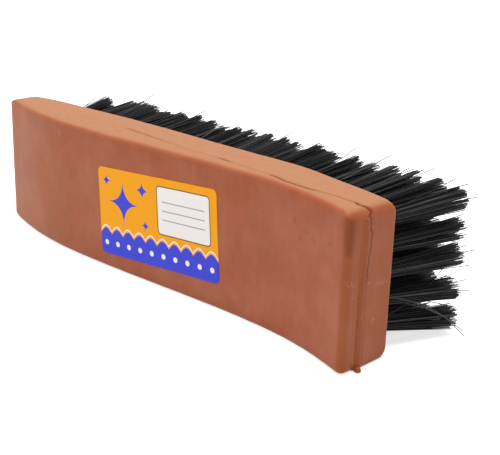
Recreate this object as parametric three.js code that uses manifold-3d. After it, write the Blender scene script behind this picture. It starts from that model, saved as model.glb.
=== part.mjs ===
// A shoe brush standing on one long side, in millimetres.
// X runs along the brush, with the scooped end at +X. Y runs from the hand to the bristle tips.
// Z is up, across the brush. The block is two halves glued together: a bored stock that carries the
// bristles and a shaped cover for the hand. One wire behind each row of tufts holds it in the stock.

import * as THREE from 'three';
import { mergeVertices } from 'three/addons/utils/BufferGeometryUtils.js';
import Module from 'manifold-3d';

const wasm = await Module();
wasm.setup();

// Block. Depths are measured towards the hand from the crown of the bristle face.
const LENGTH = 190;
const WIDTH = 50.5;
const SCOOP_END_DEPTH = 29.7;
const SCOOP_DEPTH = 21.8;
const SCOOP_FROM_END = 42;
const SWELL_DEPTH = 26.4;
const SWELL_FROM_END = 50;
const SWELL_END_DEPTH = 18;
const FACE_DROP = 7.6; // fall of the bowed bristle face from its crown to either end
const FACE_BOW = 3; // power of that bow: a higher one is flatter in the middle
const JOINT_DEPTH_AT_SCOOP_END = 20.5;
const JOINT_DEPTH_AT_SWELL_END = 11;
const CORNER_ROUND = 5; // corners of the side view
const CORNER_SHARE = 0.45; // most of an end's depth that one corner takes up
const EDGE_ROUND = 1.8; // long edges, all round both sides, at most half the corner round
const GLUE_LINE = 0.3;
const FIT_GAP = 0.3; // clearance between pieces that touch

// Paper label on the hand side, stuck on a little crooked
const LABEL_LENGTH = 59;
const LABEL_HEIGHT = 32.5;
const LABEL_CORNER = 2;
const LABEL_THICKNESS = 0.25;
const LABEL_PAST_MIDDLE = 4.8; // towards the scooped end
const LABEL_BELOW_MIDDLE = 1.5;
const LABEL_TILT_DEG = 3.6;

// Draw wires, one behind each row of tufts, with both ends turned into the stock
const WIRE = 1;
const WIRE_END_MARGIN = 3.5; // from the end of the tufted length to the turned-in end
const WIRE_HOOK = 4; // from the wire's middle to the tip of its turned-in end
const HOOK_REACH = 4; // from the last tuft to the turned-in end

// Tufts and their bores
const SWELL_END_BARE = 10; // length at the thin palm end that holds no tufts
const COLUMN_PITCH = 7.85;
const ROW_PITCH = 8.4;
const SIDE_MARGIN = 8.4; // from the side of the block to the outer rows
const BORE = 4.6;
const BANKS = 4; // lengthwise groups of tufts
const SLICE = 2; // bored skin of the stock that each bank carries
const SLICE_BORDER = 3; // from the outer tufts to the rim of the recess

// Strands. Each stands for a bundle of filaments.
const BRISTLE_LENGTH = 31;
const STRANDS_PER_TUFT = 3;
const STRAND_ROOT_RADIUS = 0.9;
const STRAND_TIP_RADIUS = 0.85;
const STRAND_SET = 0.8; // depth of a strand's root in the slice
const TUFT_ROOT_SPREAD = 1.3; // from a tuft's middle to its strands, at the face
const TUFT_TIP_SPREAD = 2.5;
const END_SPLAY = 9; // outward lean of the end tufts, at the tips
const SIDE_SPLAY = 2.8; // outward lean of the outer rows, at the tips
const RAGGED_TRIM = 2.4; // spread of strand lengths
const PALM_TRIM = 7; // how much shorter the last tufts are at the palm end
const PALM_TRIM_POWER = 14; // a higher one shortens fewer tufts

// Facets
const PROFILE_STEPS = 28;
const FACE_STEPS = 16;
const ROUND_STEPS = 3;
const WIRE_SIDES = 8;
const BORE_SIDES = 6;
const STRAND_SIDES = 3;
const FLAT_TOLERANCE = 0.002;
const WELD_DISTANCE = 1e-5;

// What follows from the sizes above
const HALF_LENGTH = LENGTH / 2;
const HALF_WIDTH = WIDTH / 2;
const SCOOP_X = HALF_LENGTH - SCOOP_FROM_END;
const SWELL_X = SWELL_FROM_END - HALF_LENGTH;
const FIELD_X = SWELL_END_BARE / 2; // middle of the tufted length
const WIRE_SPAN = LENGTH - SWELL_END_BARE - 2 * WIRE_END_MARGIN;
const HOOKS_X = [FIELD_X - WIRE_SPAN / 2, FIELD_X + WIRE_SPAN / 2];
const COLUMN_SPACE = WIRE_SPAN - 2 * HOOK_REACH;
const ROW_SPACE = WIDTH - 2 * SIDE_MARGIN;
const COLUMNS = copies(COLUMN_SPACE, COLUMN_PITCH);
const ROWS = copies(ROW_SPACE, ROW_PITCH);
const FIELD_LENGTH = (COLUMNS - 1) * COLUMN_PITCH;
const FIELD_WIDTH = (ROWS - 1) * ROW_PITCH;
const GROOVE = WIRE + 2 * FIT_GAP;
const WIRE_RADIUS = WIRE / 2;
const JOINT_SLOPE = (JOINT_DEPTH_AT_SCOOP_END - JOINT_DEPTH_AT_SWELL_END) / LENGTH;
const BEYOND = LENGTH; // how far cutting shapes run past the block

const MOULDED_BROWN = new THREE.MeshStandardMaterial({ color: 0xa9694c, roughness: 0.62, metalness: 0 });
const PRINTED_PAPER = new THREE.MeshStandardMaterial({ color: 0xf5a81c, roughness: 0.45, metalness: 0 });
const BLACK_BRISTLE = new THREE.MeshStandardMaterial({ color: 0x141416, roughness: 0.4, metalness: 0 });
const DRAWN_STEEL = new THREE.MeshStandardMaterial({ color: 0x9a9a98, roughness: 0.35, metalness: 1 });

/** How many copies at a pitch fit in a space, with one at each end. */
function copies(space, pitch) {
  const roundingSlack = 1e-6;
  return Math.floor(space / pitch + roundingSlack) + 1;
}

/** Y of the hand side: an arched scoop, an S-shaped rise and an arched palm swell. */
function backY(x) {
  if (x > SCOOP_X) {
    const along = (x - SCOOP_X) / SCOOP_FROM_END;
    return -(SCOOP_DEPTH + (SCOOP_END_DEPTH - SCOOP_DEPTH) * along ** 2);
  }
  if (x < SWELL_X) {
    const along = (SWELL_X - x) / SWELL_FROM_END;
    return -(SWELL_DEPTH + (SWELL_END_DEPTH - SWELL_DEPTH) * along ** 2);
  }
  const ease = (1 - Math.cos(Math.PI * (x - SWELL_X) / (SCOOP_X - SWELL_X))) / 2;
  return -(SWELL_DEPTH + (SCOOP_DEPTH - SWELL_DEPTH) * ease);
}

/** Y of the bristle face, which bows away from its crown towards both ends. */
function faceY(x) {
  return -FACE_DROP * Math.abs(x / HALF_LENGTH) ** FACE_BOW;
}

/** Y of the flat glue joint between the stock and the cover. */
function jointY(x) {
  return -JOINT_DEPTH_AT_SWELL_END - JOINT_SLOPE * (x + HALF_LENGTH);
}

function columnX(column) {
  return FIELD_X + column * COLUMN_PITCH - FIELD_LENGTH / 2;
}

function rowZ(row) {
  return HALF_WIDTH + row * ROW_PITCH - FIELD_WIDTH / 2;
}

/** A repeatable number from 0 to 1 for strand number n, unlike those of its neighbours. */
function scatter(n) {
  const goldenFraction = (Math.sqrt(5) - 1) / 2;
  return (n * goldenFraction) % 1;
}

/** A closed manifold solid from a three.js geometry. */
function solid(geometry) {
  geometry.deleteAttribute('normal');
  geometry.deleteAttribute('uv');
  const welded = mergeVertices(geometry, WELD_DISTANCE);
  return new wasm.Manifold(new wasm.Mesh({
    numProp: 3,
    vertProperties: new Float32Array(welded.getAttribute('position').array),
    triVerts: new Uint32Array(welded.index.array),
  }));
}

/** A named mesh from a manifold solid, with flat faces left in as few triangles as they need. */
function piece(name, body, material) {
  const { vertProperties, triVerts } = body.simplify(FLAT_TOLERANCE).getMesh();
  const geometry = new THREE.BufferGeometry();
  geometry.setAttribute('position', new THREE.BufferAttribute(new Float32Array(vertProperties), 3));
  geometry.setIndex(new THREE.BufferAttribute(new Uint32Array(triVerts), 1));
  geometry.computeVertexNormals();
  const mesh = new THREE.Mesh(geometry, material);
  mesh.name = name;
  return mesh;
}

/** A solid between two curves y(x), from x0 to x1 and from z0 to z1. */
function band(lowerY, upperY, [x0, x1], [z0, z1], steps) {
  const xs = Array.from({ length: steps + 1 }, (_, i) => x0 + (x1 - x0) * i / steps);
  const outline = [
    ...xs.map((x) => new THREE.Vector2(x, lowerY(x))),
    ...xs.reverse().map((x) => new THREE.Vector2(x, upperY(x))),
  ];
  const shape = new THREE.Shape(outline);
  const geometry = new THREE.ExtrudeGeometry(shape, { depth: z1 - z0, bevelEnabled: false });
  return solid(geometry.translate(0, 0, z0));
}

/** A round bar along Y, centred on x and z, from y0 to y1. */
function postY(radius, x, z, y0, y1, sides) {
  const geometry = new THREE.CylinderGeometry(radius, radius, y1 - y0, sides);
  return solid(geometry.translate(x, (y0 + y1) / 2, z));
}

/** The whole block, before it is parted at the glue joint. */
function blockSolid() {
  const farBack = backY(-HALF_LENGTH);
  const farFace = faceY(-HALF_LENGTH);
  const nearBack = backY(HALF_LENGTH);
  const nearFace = faceY(HALF_LENGTH);
  const farRound = Math.min(CORNER_ROUND, CORNER_SHARE * (farFace - farBack));
  const nearRound = Math.min(CORNER_ROUND, CORNER_SHARE * (nearFace - nearBack));
  const edgeRound = Math.min(EDGE_ROUND, farRound / 2, nearRound / 2);
  const startX = farRound - HALF_LENGTH;
  const endX = HALF_LENGTH - nearRound;
  const shape = new THREE.Shape();
  shape.moveTo(startX, backY(startX));
  for (let i = 1; i <= PROFILE_STEPS; i += 1) {
    const x = startX + (endX - startX) * i / PROFILE_STEPS;
    shape.lineTo(x, backY(x));
  }
  shape.quadraticCurveTo(HALF_LENGTH, nearBack, HALF_LENGTH, nearBack + nearRound);
  shape.lineTo(HALF_LENGTH, nearFace - nearRound);
  shape.quadraticCurveTo(HALF_LENGTH, nearFace, endX, faceY(endX));
  for (let i = 1; i <= FACE_STEPS; i += 1) {
    const x = endX + (startX - endX) * i / FACE_STEPS;
    shape.lineTo(x, faceY(x));
  }
  shape.quadraticCurveTo(-HALF_LENGTH, farFace, -HALF_LENGTH, farFace - farRound);
  shape.lineTo(-HALF_LENGTH, farBack + farRound);
  shape.quadraticCurveTo(-HALF_LENGTH, farBack, startX, backY(startX));
  const geometry = new THREE.ExtrudeGeometry(shape, {
    depth: WIDTH - 2 * edgeRound,
    bevelThickness: edgeRound,
    bevelSize: edgeRound,
    bevelOffset: -edgeRound,
    bevelSegments: ROUND_STEPS,
    curveSegments: ROUND_STEPS,
  });
  return solid(geometry.translate(0, 0, edgeRound));
}

/** Everything on one side of the glue joint: side is 1 for the bristles, -1 for the hand. */
function jointSide(side) {
  const near = (x) => jointY(x) + side * GLUE_LINE / 2;
  const far = (x) => jointY(x) + side * BEYOND;
  const [lower, upper] = side > 0 ? [near, far] : [far, near];
  return band(lower, upper, [-BEYOND, BEYOND], [-BEYOND, BEYOND], 1);
}

/** Y of a wire's middle: it lies on the back of the stock, in a groove of the cover. */
function wireY(x) {
  return jointY(x) + GLUE_LINE / 2 - FIT_GAP - WIRE_RADIUS;
}

function tufts() {
  const all = [];
  for (let column = 0; column < COLUMNS; column += 1) {
    for (let row = 0; row < ROWS; row += 1) {
      all.push({ column, row, x: columnX(column), z: rowZ(row) });
    }
  }
  return all;
}

/** The bristle half of the block: recessed for the banks, bored for the tufts and the wires' ends. */
function bristleStock(block) {
  const recessX = FIELD_LENGTH / 2 + SLICE_BORDER + FIT_GAP;
  const recessZ = FIELD_WIDTH / 2 + SLICE_BORDER + FIT_GAP;
  const recess = band(
    (x) => faceY(x) - SLICE - FIT_GAP,
    (x) => faceY(x) + BEYOND,
    [FIELD_X - recessX, FIELD_X + recessX],
    [HALF_WIDTH - recessZ, HALF_WIDTH + recessZ],
    COLUMNS,
  );
  let stock = block.intersect(jointSide(1)).subtract(recess);
  for (const { x, z } of tufts()) {
    stock = stock.subtract(postY(BORE / 2, x, z, wireY(x), faceY(x), BORE_SIDES));
  }
  for (let row = 0; row < ROWS; row += 1) {
    for (const x of HOOKS_X) {
      const bottom = wireY(x) + WIRE_HOOK + FIT_GAP;
      stock = stock.subtract(postY(WIRE_RADIUS + FIT_GAP, x, rowZ(row), wireY(x), bottom, BORE_SIDES));
    }
  }
  return stock;
}

/** The hand half of the block, with a groove over each wire. */
function backCover(block) {
  const ends = [HOOKS_X[0] - GROOVE / 2, HOOKS_X[1] + GROOVE / 2];
  let cover = block.intersect(jointSide(-1));
  for (let row = 0; row < ROWS; row += 1) {
    const sides = [rowZ(row) - GROOVE / 2, rowZ(row) + GROOVE / 2];
    cover = cover.subtract(band((x) => wireY(x) - GROOVE / 2, jointY, ends, sides, 1));
  }
  return cover;
}

/** One wire: a straight run behind a row, with both ends turned towards the bristles. */
function drawWire(row) {
  const z = rowZ(row);
  const lean = Math.atan(JOINT_SLOPE);
  const run = new THREE.CylinderGeometry(WIRE_RADIUS, WIRE_RADIUS, WIRE_SPAN / Math.cos(lean), WIRE_SIDES);
  run.rotateZ(Math.PI / 2 - lean);
  let wire = solid(run.translate(FIELD_X, wireY(FIELD_X), z));
  for (const x of HOOKS_X) {
    wire = wire.add(postY(WIRE_RADIUS, x, z, wireY(x) - WIRE_RADIUS, wireY(x) + WIRE_HOOK, WIRE_SIDES));
  }
  return wire;
}

/** One strand of a tuft, from its root in the slice to its ragged tip. */
function strand({ column, row, x, z }, number) {
  const angle = Math.PI / 2 + 2 * Math.PI * number / STRANDS_PER_TUFT;
  const outX = Math.cos(angle);
  const outZ = Math.sin(angle);
  const along = 2 * (x - FIELD_X) / FIELD_LENGTH;
  const across = FIELD_WIDTH > 0 ? 2 * (z - HALF_WIDTH) / FIELD_WIDTH : 0;
  const ragged = RAGGED_TRIM * scatter(number + STRANDS_PER_TUFT * (row + ROWS * column));
  const trim = ragged + PALM_TRIM * Math.max(-along, 0) ** PALM_TRIM_POWER;
  const root = new THREE.Vector3(x + TUFT_ROOT_SPREAD * outX, faceY(x), z + TUFT_ROOT_SPREAD * outZ);
  const tip = new THREE.Vector3(
    x + TUFT_TIP_SPREAD * outX + END_SPLAY * along ** 3,
    faceY(x) + BRISTLE_LENGTH - trim,
    z + TUFT_TIP_SPREAD * outZ + SIDE_SPLAY * across,
  );
  const direction = tip.clone().sub(root).normalize();
  root.addScaledVector(direction, -STRAND_SET);
  const geometry = new THREE.CylinderGeometry(
    STRAND_TIP_RADIUS,
    STRAND_ROOT_RADIUS,
    tip.distanceTo(root),
    STRAND_SIDES,
  );
  geometry.applyQuaternion(new THREE.Quaternion().setFromUnitVectors(new THREE.Vector3(0, 1, 0), direction));
  return solid(geometry.translate(...tip.add(root).multiplyScalar(0.5).toArray()));
}

/** One lengthwise bank: a slice of the bored face with its tufts and their doubled roots. */
function bristleBank(bank) {
  const first = Math.round(bank * COLUMNS / BANKS);
  const last = Math.round((bank + 1) * COLUMNS / BANKS) - 1;
  const toNextBank = (COLUMN_PITCH - FIT_GAP) / 2;
  const startX = columnX(first) - (bank === 0 ? SLICE_BORDER : toNextBank);
  const endX = columnX(last) + (bank === BANKS - 1 ? SLICE_BORDER : toNextBank);
  const reachZ = FIELD_WIDTH / 2 + SLICE_BORDER;
  const sides = [HALF_WIDTH - reachZ, HALF_WIDTH + reachZ];
  const bankTufts = tufts().filter(({ column }) => column >= first && column <= last);
  let body = band((x) => faceY(x) - SLICE, faceY, [startX, endX], sides, last - first + 1);
  for (const tuft of bankTufts) {
    const { x, z } = tuft;
    const rootEnd = jointY(x) + GLUE_LINE / 2;
    body = body.add(postY(BORE / 2 - FIT_GAP, x, z, rootEnd, faceY(x) - SLICE / 2, BORE_SIDES));
    for (let number = 0; number < STRANDS_PER_TUFT; number += 1) {
      body = body.add(strand(tuft, number));
    }
  }
  return body;
}

/** A thin sheet on the hand side, cut to a rounded rectangle. */
function paperLabel() {
  const x = LABEL_LENGTH / 2;
  const z = LABEL_HEIGHT / 2;
  const outline = new THREE.Shape();
  outline.absarc(x - LABEL_CORNER, z - LABEL_CORNER, LABEL_CORNER, 0, Math.PI / 2);
  outline.absarc(LABEL_CORNER - x, z - LABEL_CORNER, LABEL_CORNER, Math.PI / 2, Math.PI);
  outline.absarc(LABEL_CORNER - x, LABEL_CORNER - z, LABEL_CORNER, Math.PI, 1.5 * Math.PI);
  outline.absarc(x - LABEL_CORNER, LABEL_CORNER - z, LABEL_CORNER, 1.5 * Math.PI, 2 * Math.PI);
  const cutter = new THREE.ExtrudeGeometry(outline, {
    depth: BEYOND,
    bevelEnabled: false,
    curveSegments: ROUND_STEPS,
  });
  cutter.rotateX(Math.PI / 2);
  cutter.rotateY(-THREE.MathUtils.degToRad(LABEL_TILT_DEG));
  cutter.translate(LABEL_PAST_MIDDLE, 0, HALF_WIDTH - LABEL_BELOW_MIDDLE);
  const sheet = band(
    (at) => backY(at) - FIT_GAP - LABEL_THICKNESS,
    (at) => backY(at) - FIT_GAP,
    [LABEL_PAST_MIDDLE - LABEL_LENGTH, LABEL_PAST_MIDDLE + LABEL_LENGTH],
    [-BEYOND, BEYOND],
    PROFILE_STEPS,
  );
  return sheet.intersect(solid(cutter));
}

const brush = new THREE.Group();
const block = blockSolid();
brush.add(piece('bristle_stock', bristleStock(block), MOULDED_BROWN));
brush.add(piece('back_cover', backCover(block), MOULDED_BROWN));
brush.add(piece('label', paperLabel(), PRINTED_PAPER));
for (let row = 0; row < ROWS; row += 1) {
  brush.add(piece(`draw_wire_${row + 1}`, drawWire(row), DRAWN_STEEL));
}
for (let bank = 0; bank < BANKS; bank += 1) {
  brush.add(piece(`bristle_bank_${bank + 1}`, bristleBank(bank), BLACK_BRISTLE));
}

// The origin is under the middle of the whole brush, on the surface it stands on.
const bounds = new THREE.Box3().setFromObject(brush, true);
const middle = bounds.getCenter(new THREE.Vector3());
brush.position.set(-middle.x, -middle.y, -bounds.min.z);

export default brush;
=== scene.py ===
"""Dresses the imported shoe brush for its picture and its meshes.

The back is moulded in two halves that meet at a seam. A printed paper label sits on the hand side,
stiff black tufts stand in rows on the other, and draw wires lie hidden in the back. Lengths are
millimetres in the block's own frame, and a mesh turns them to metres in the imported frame. X runs from
mid-length to the scooped end, Y from the crown of the bristle face to the tips, and Z up from the side
that the brush lies on.
"""

from __future__ import annotations

import logging
import math
from collections.abc import Mapping
from dataclasses import dataclass
from enum import Enum
from typing import Any

import bpy
import numpy as np
from mathutils import Matrix, Vector, noise

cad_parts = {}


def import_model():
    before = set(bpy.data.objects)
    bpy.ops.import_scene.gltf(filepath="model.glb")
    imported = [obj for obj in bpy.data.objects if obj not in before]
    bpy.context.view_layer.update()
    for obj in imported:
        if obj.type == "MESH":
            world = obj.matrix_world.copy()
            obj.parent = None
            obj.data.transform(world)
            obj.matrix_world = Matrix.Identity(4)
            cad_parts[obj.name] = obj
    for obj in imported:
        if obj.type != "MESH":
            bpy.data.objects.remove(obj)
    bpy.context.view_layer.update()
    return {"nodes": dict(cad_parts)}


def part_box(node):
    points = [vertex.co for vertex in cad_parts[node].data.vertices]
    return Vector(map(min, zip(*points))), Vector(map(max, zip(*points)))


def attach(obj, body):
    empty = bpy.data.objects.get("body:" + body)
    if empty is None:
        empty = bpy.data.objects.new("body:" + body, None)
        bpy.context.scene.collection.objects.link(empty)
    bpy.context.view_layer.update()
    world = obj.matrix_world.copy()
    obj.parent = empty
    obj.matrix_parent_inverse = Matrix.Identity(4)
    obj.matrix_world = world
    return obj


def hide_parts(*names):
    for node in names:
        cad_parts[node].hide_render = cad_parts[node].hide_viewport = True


MM = 0.001
BODY = "root"
PRINT_MAP = "print"
BAKE_MAP = "OFBake"
SMOOTH_UP_TO = math.radians(50)
# The moulded skin's ripples: how far apart they are and how high
RIPPLES = ((24.0, 0.12), (5.0, 0.04))
# Corners of a filament's quads and of its flat tip, in shares of their cells on the map
QUAD_CORNERS = ((0, 0), (1, 0), (1, 1), (0, 1))
TIP_CORNERS = ((0.1, 0.85), (0.9, 0.85), (0.5, 0.97))
LOG = logging.getLogger("shoe_brush")


def linear(hex_colour: str) -> tuple[float, float, float, float]:
    """Turns an sRGB hex colour to linear light.

    Args:
        hex_colour: six hex digits after a hash mark.

    Returns:
        Red, green and blue in linear light, and an alpha of 1.
    """
    # The sRGB curve is straight near black and a power above that
    channels = [int(hex_colour[i : i + 2], 16) / 255 for i in (1, 3, 5)]
    light = [c / 12.92 if c <= 0.04045 else ((c + 0.055) / 1.055) ** 2.4 for c in channels]
    return (*light, 1.0)


def per_metre(size_mm: float) -> float:
    """The texture scale whose features are about size_mm across."""
    return 1 / (size_mm * MM)


def add_node(
    tree: bpy.types.NodeTree,
    kind: str,
    settings: Mapping[str, Any] | None = None,
    inputs: Mapping[str | int, Any] | None = None,
) -> bpy.types.Node:
    """Adds one node with its settings and links.

    Args:
        tree: the node tree that takes the node.
        kind: the node's type name.
        settings: the node's properties by name.
        inputs: a value, or a socket to link from, for each input by name or number.

    Returns:
        The new node.
    """
    node = tree.nodes.new(kind)
    for name, value in (settings or {}).items():
        setattr(node, name, value)
    for key, value in (inputs or {}).items():
        if isinstance(value, bpy.types.NodeSocket):
            tree.links.new(value, node.inputs[key])
        else:
            node.inputs[key].default_value = value
    return node


def add_mesh(
    name: str,
    points: np.ndarray,
    faces: list[list[int]],
    origin: tuple[float, float, float] = (0.0, 0.0, 0.0),
) -> bpy.types.Object:
    """Makes a smooth-shaded object.

    Args:
        name: the piece's name.
        points: one row per vertex, in millimetres.
        faces: the vertex numbers of each face.
        origin: where the points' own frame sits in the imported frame, in millimetres.

    Returns:
        The new object, linked to the scene.
    """
    mesh = bpy.data.meshes.new(name)
    mesh.from_pydata(((points + np.array(origin)) * MM).tolist(), [], faces)
    mesh.validate()
    mesh.shade_smooth()
    piece = bpy.data.objects.new(name, mesh)
    bpy.context.scene.collection.objects.link(piece)
    return piece


def add_attribute(piece: bpy.types.Object, name: str, values: np.ndarray) -> None:
    """Stores one number per vertex, for a material to read."""
    attribute = piece.data.attributes.new(name, "FLOAT", "POINT")
    attribute.data.foreach_set("value", values.astype(np.float32))


def grid_faces(rows: int, columns: int, closed: bool = False) -> np.ndarray:
    """Numbers the quads of a grid of points.

    Args:
        rows: rows of points.
        columns: points in a row.
        closed: joins the last point of each row to its first.

    Returns:
        Four vertex numbers for each quad.
    """
    start = np.arange(rows - 1)[:, None] * columns
    here = np.arange(columns if closed else columns - 1)[None, :]
    after = (here + 1) % columns
    corners = [start + here, start + after, start + columns + after, start + columns + here]
    return np.stack(corners, -1).reshape(-1, 4)


def closed_faces(rings: int, around: int, first: int = 0) -> list[list[int]]:
    """Numbers the faces of a tube of rings that is closed at both ends.

    Args:
        rings: rings of points.
        around: points in a ring.
        first: number of the first point.

    Returns:
        The vertex numbers of each face.
    """
    faces = (grid_faces(rings, around, closed=True) + first).tolist()
    faces.append([first + number for number in range(around)][::-1])
    faces.append([first + number for number in range((rings - 1) * around, rings * around)])
    return faces


def smooth_step(value: np.ndarray) -> np.ndarray:
    """Eases from 0 at 0 to 1 at 1."""
    held = np.clip(value, 0, 1)
    return held * held * (3 - 2 * held)


def rough_wave(points: np.ndarray, size_mm: float) -> np.ndarray:
    """Perlin noise, from about -1 to 1, with features of size_mm, at each point."""
    return np.array([noise.noise(Vector(p) / size_mm) for p in points])


def quarter_round(away: np.ndarray, run: float, rise: float) -> np.ndarray:
    """How far an elliptical round cuts in.

    Args:
        away: distance from the end that it rounds.
        run: how far from that end it starts.
        rise: how far it has cut in at the end.

    Returns:
        The cut at each distance.
    """
    share = np.clip(1 - away / run, 0, 1)
    return rise * (1 - np.sqrt(1 - share**2))


def mould_ripple(points: np.ndarray) -> np.ndarray:
    """How far the moulded surface swells or sinks at each point, in millimetres."""
    return sum(height * rough_wave(points, size) for size, height in RIPPLES)


class Finish:
    """What a piece is made of: a subclass says how its surface looks."""

    name = "finish"

    def surface(self, tree: bpy.types.NodeTree) -> bpy.types.NodeSocket:
        """Adds the nodes of the surface and gives its shader."""
        raise NotImplementedError

    def make(self) -> bpy.types.Material:
        """Makes the material.

        Returns:
            The material, with the surface's nodes in it.
        """
        material = bpy.data.materials.new(self.name)
        material.use_nodes = True
        tree = material.node_tree
        tree.nodes.clear()
        add_node(tree, "ShaderNodeOutputMaterial", inputs={"Surface": self.surface(tree)})
        return material


@dataclass(frozen=True)
class MouldedWoodPlastic(Finish):
    """Wood-flour-filled plastic, straight from the mould.

    The filler drifts as the melt flows, so the brown is blotched with pink and the face is matt with a
    fine grain. The two level sides are paler with a dusty bloom and a painted sheen, the rounded edges
    take a deeper orange that is partly polish from handling and partly painted shade, the open seam and
    the flash carry painted shade, and the stock's near rim and the flash's crest carry a painted highlight.
    """

    name = "moulded_wood_plastic"
    brown: str = "#9F5434"
    pink: str = "#A96246"
    # Edge wear and painted shade: the deeper orange of the rounded edges, the ends and the flash's flanks,
    # and the painted shade of the near end's upper corner
    edge_wear_and_shade: str = "#964B1E"
    # Dust and painted sheen: the paler tone of the level sides and the palm end
    dust_and_sheen_side: str = "#AA724C"
    # Painted shade in the open seam, beside the flash's lip and on the near end's upper corner
    seam_shade: str = "#783615"
    pit_shade: str = "#7A4028"
    # Scuffs, and the painted highlights on the stock's near rim and the flash's crest
    pale_scuff_and_highlight: str = "#DDBCA8"
    blotch_mm: float = 18.0
    blotch_octaves: float = 4.0
    blotch_gain: float = 0.6
    blotch_range: tuple[float, float] = (0.36, 0.66)
    streak_mm: float = 3.0
    streak_octaves: float = 3.0
    streak_gain: float = 0.55
    streak_stretch: float = 0.28
    streak_range: tuple[float, float] = (0.3, 0.7)
    # Real flour is finer: its grain is drawn this coarse to show
    grain_mm: float = 0.6
    grain_octaves: float = 2.0
    grain_gain: float = 0.5
    fleck_range: tuple[float, float] = (0.5, 0.6)
    cloud_low: float = 0.93
    cloud_high: float = 1.07
    bump_strength: float = 0.2
    ripple_depth_mm: float = 0.4
    grain_depth_mm: float = 0.15
    edge_strength: float = 0.75
    roughness: float = 0.56
    roughness_swing: float = 0.12
    edge_roughness: float = 0.45
    ior: float = 1.5
    specular: float = 0.2

    def surface(self, tree: bpy.types.NodeTree) -> bpy.types.NodeSocket:
        """Adds the nodes of the surface.

        Args:
            tree: the material's nodes.

        Returns:
            The surface's shader.
        """
        place = add_node(tree, "ShaderNodeTexCoord").outputs["Object"]
        flow = add_node(
            tree,
            "ShaderNodeVectorMath",
            {"operation": "MULTIPLY"},
            {0: place, 1: (1.0, 1.0, self.streak_stretch)},
        )
        patterns = (
            (place, self.blotch_mm, self.blotch_octaves, self.blotch_gain),
            (flow.outputs[0], self.streak_mm, self.streak_octaves, self.streak_gain),
            (place, self.grain_mm, self.grain_octaves, self.grain_gain),
        )
        blotches, streaks, grain = (
            add_node(
                tree,
                "ShaderNodeTexNoise",
                inputs={"Vector": spot, "Scale": per_metre(size), "Detail": octaves, "Roughness": gain},
            ).outputs["Fac"]
            for spot, size, octaves, gain in patterns
        )
        drift, streaked, flecks = (
            add_node(
                tree,
                "ShaderNodeMapRange",
                inputs={"Value": pattern, "From Min": low, "From Max": high},
            ).outputs["Result"]
            for pattern, (low, high) in (
                (blotches, self.blotch_range),
                (streaks, self.streak_range),
                (grain, self.fleck_range),
            )
        )
        body = add_node(
            tree,
            "ShaderNodeMix",
            {"data_type": "RGBA"},
            {0: drift, 6: linear(self.brown), 7: linear(self.pink)},
        )
        cloud = add_node(
            tree,
            "ShaderNodeMapRange",
            inputs={"Value": streaked, "To Min": self.cloud_low, "To Max": self.cloud_high},
        )
        clouded = add_node(
            tree,
            "ShaderNodeMix",
            {"data_type": "RGBA", "blend_type": "MULTIPLY"},
            {0: 1.0, 6: body.outputs[2], 7: cloud.outputs["Result"]},
        )
        edge, dust_and_sheen, seam, pit, scuff_and_highlight = (
            add_node(tree, "ShaderNodeAttribute", {"attribute_name": name}).outputs["Fac"]
            for name in ("edge", "dust_and_sheen", "seam", "pit", "scuff_and_highlight")
        )
        wear_and_shade = add_node(tree, "ShaderNodeMath", {"operation": "MULTIPLY"}, {0: edge, 1: self.edge_strength})
        colour = clouded.outputs[2]
        paling = add_node(tree, "ShaderNodeMath", {"operation": "MULTIPLY"}, {0: scuff_and_highlight, 1: flecks})
        # Over the mottled body: edge wear with painted shade, dust with painted sheen, painted shade of the
        # seam, the pits, and scuffs with painted highlights
        layers = (
            (wear_and_shade.outputs[0], self.edge_wear_and_shade),
            (dust_and_sheen, self.dust_and_sheen_side),
            (seam, self.seam_shade),
            (pit, self.pit_shade),
            (paling.outputs[0], self.pale_scuff_and_highlight),
        )
        for share, shade in layers:
            layer = add_node(
                tree, "ShaderNodeMix", {"data_type": "RGBA"}, {0: share, 6: colour, 7: linear(shade)}
            )
            colour = layer.outputs[2]
        matt = add_node(
            tree,
            "ShaderNodeMapRange",
            inputs={
                "Value": streaks,
                "To Min": self.roughness - self.roughness_swing,
                "To Max": self.roughness + self.roughness_swing,
            },
        )
        rough = add_node(
            tree,
            "ShaderNodeMix",
            {"data_type": "FLOAT"},
            {0: wear_and_shade.outputs[0], 2: matt.outputs["Result"], 3: self.edge_roughness},
        )
        ripple = add_node(
            tree,
            "ShaderNodeBump",
            inputs={
                "Strength": self.bump_strength, "Distance": self.ripple_depth_mm * MM, "Height": streaks
            },
        )
        tooth = add_node(
            tree,
            "ShaderNodeBump",
            inputs={
                "Strength": self.bump_strength,
                "Distance": self.grain_depth_mm * MM,
                "Height": grain,
                "Normal": ripple.outputs["Normal"],
            },
        )
        shader = add_node(
            tree,
            "ShaderNodeBsdfPrincipled",
            inputs={
                "Base Color": colour,
                "Roughness": rough.outputs[0],
                "IOR": self.ior,
                "Specular IOR Level": self.specular,
                "Normal": tooth.outputs["Normal"],
            },
        )
        return shader.outputs["BSDF"]


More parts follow.
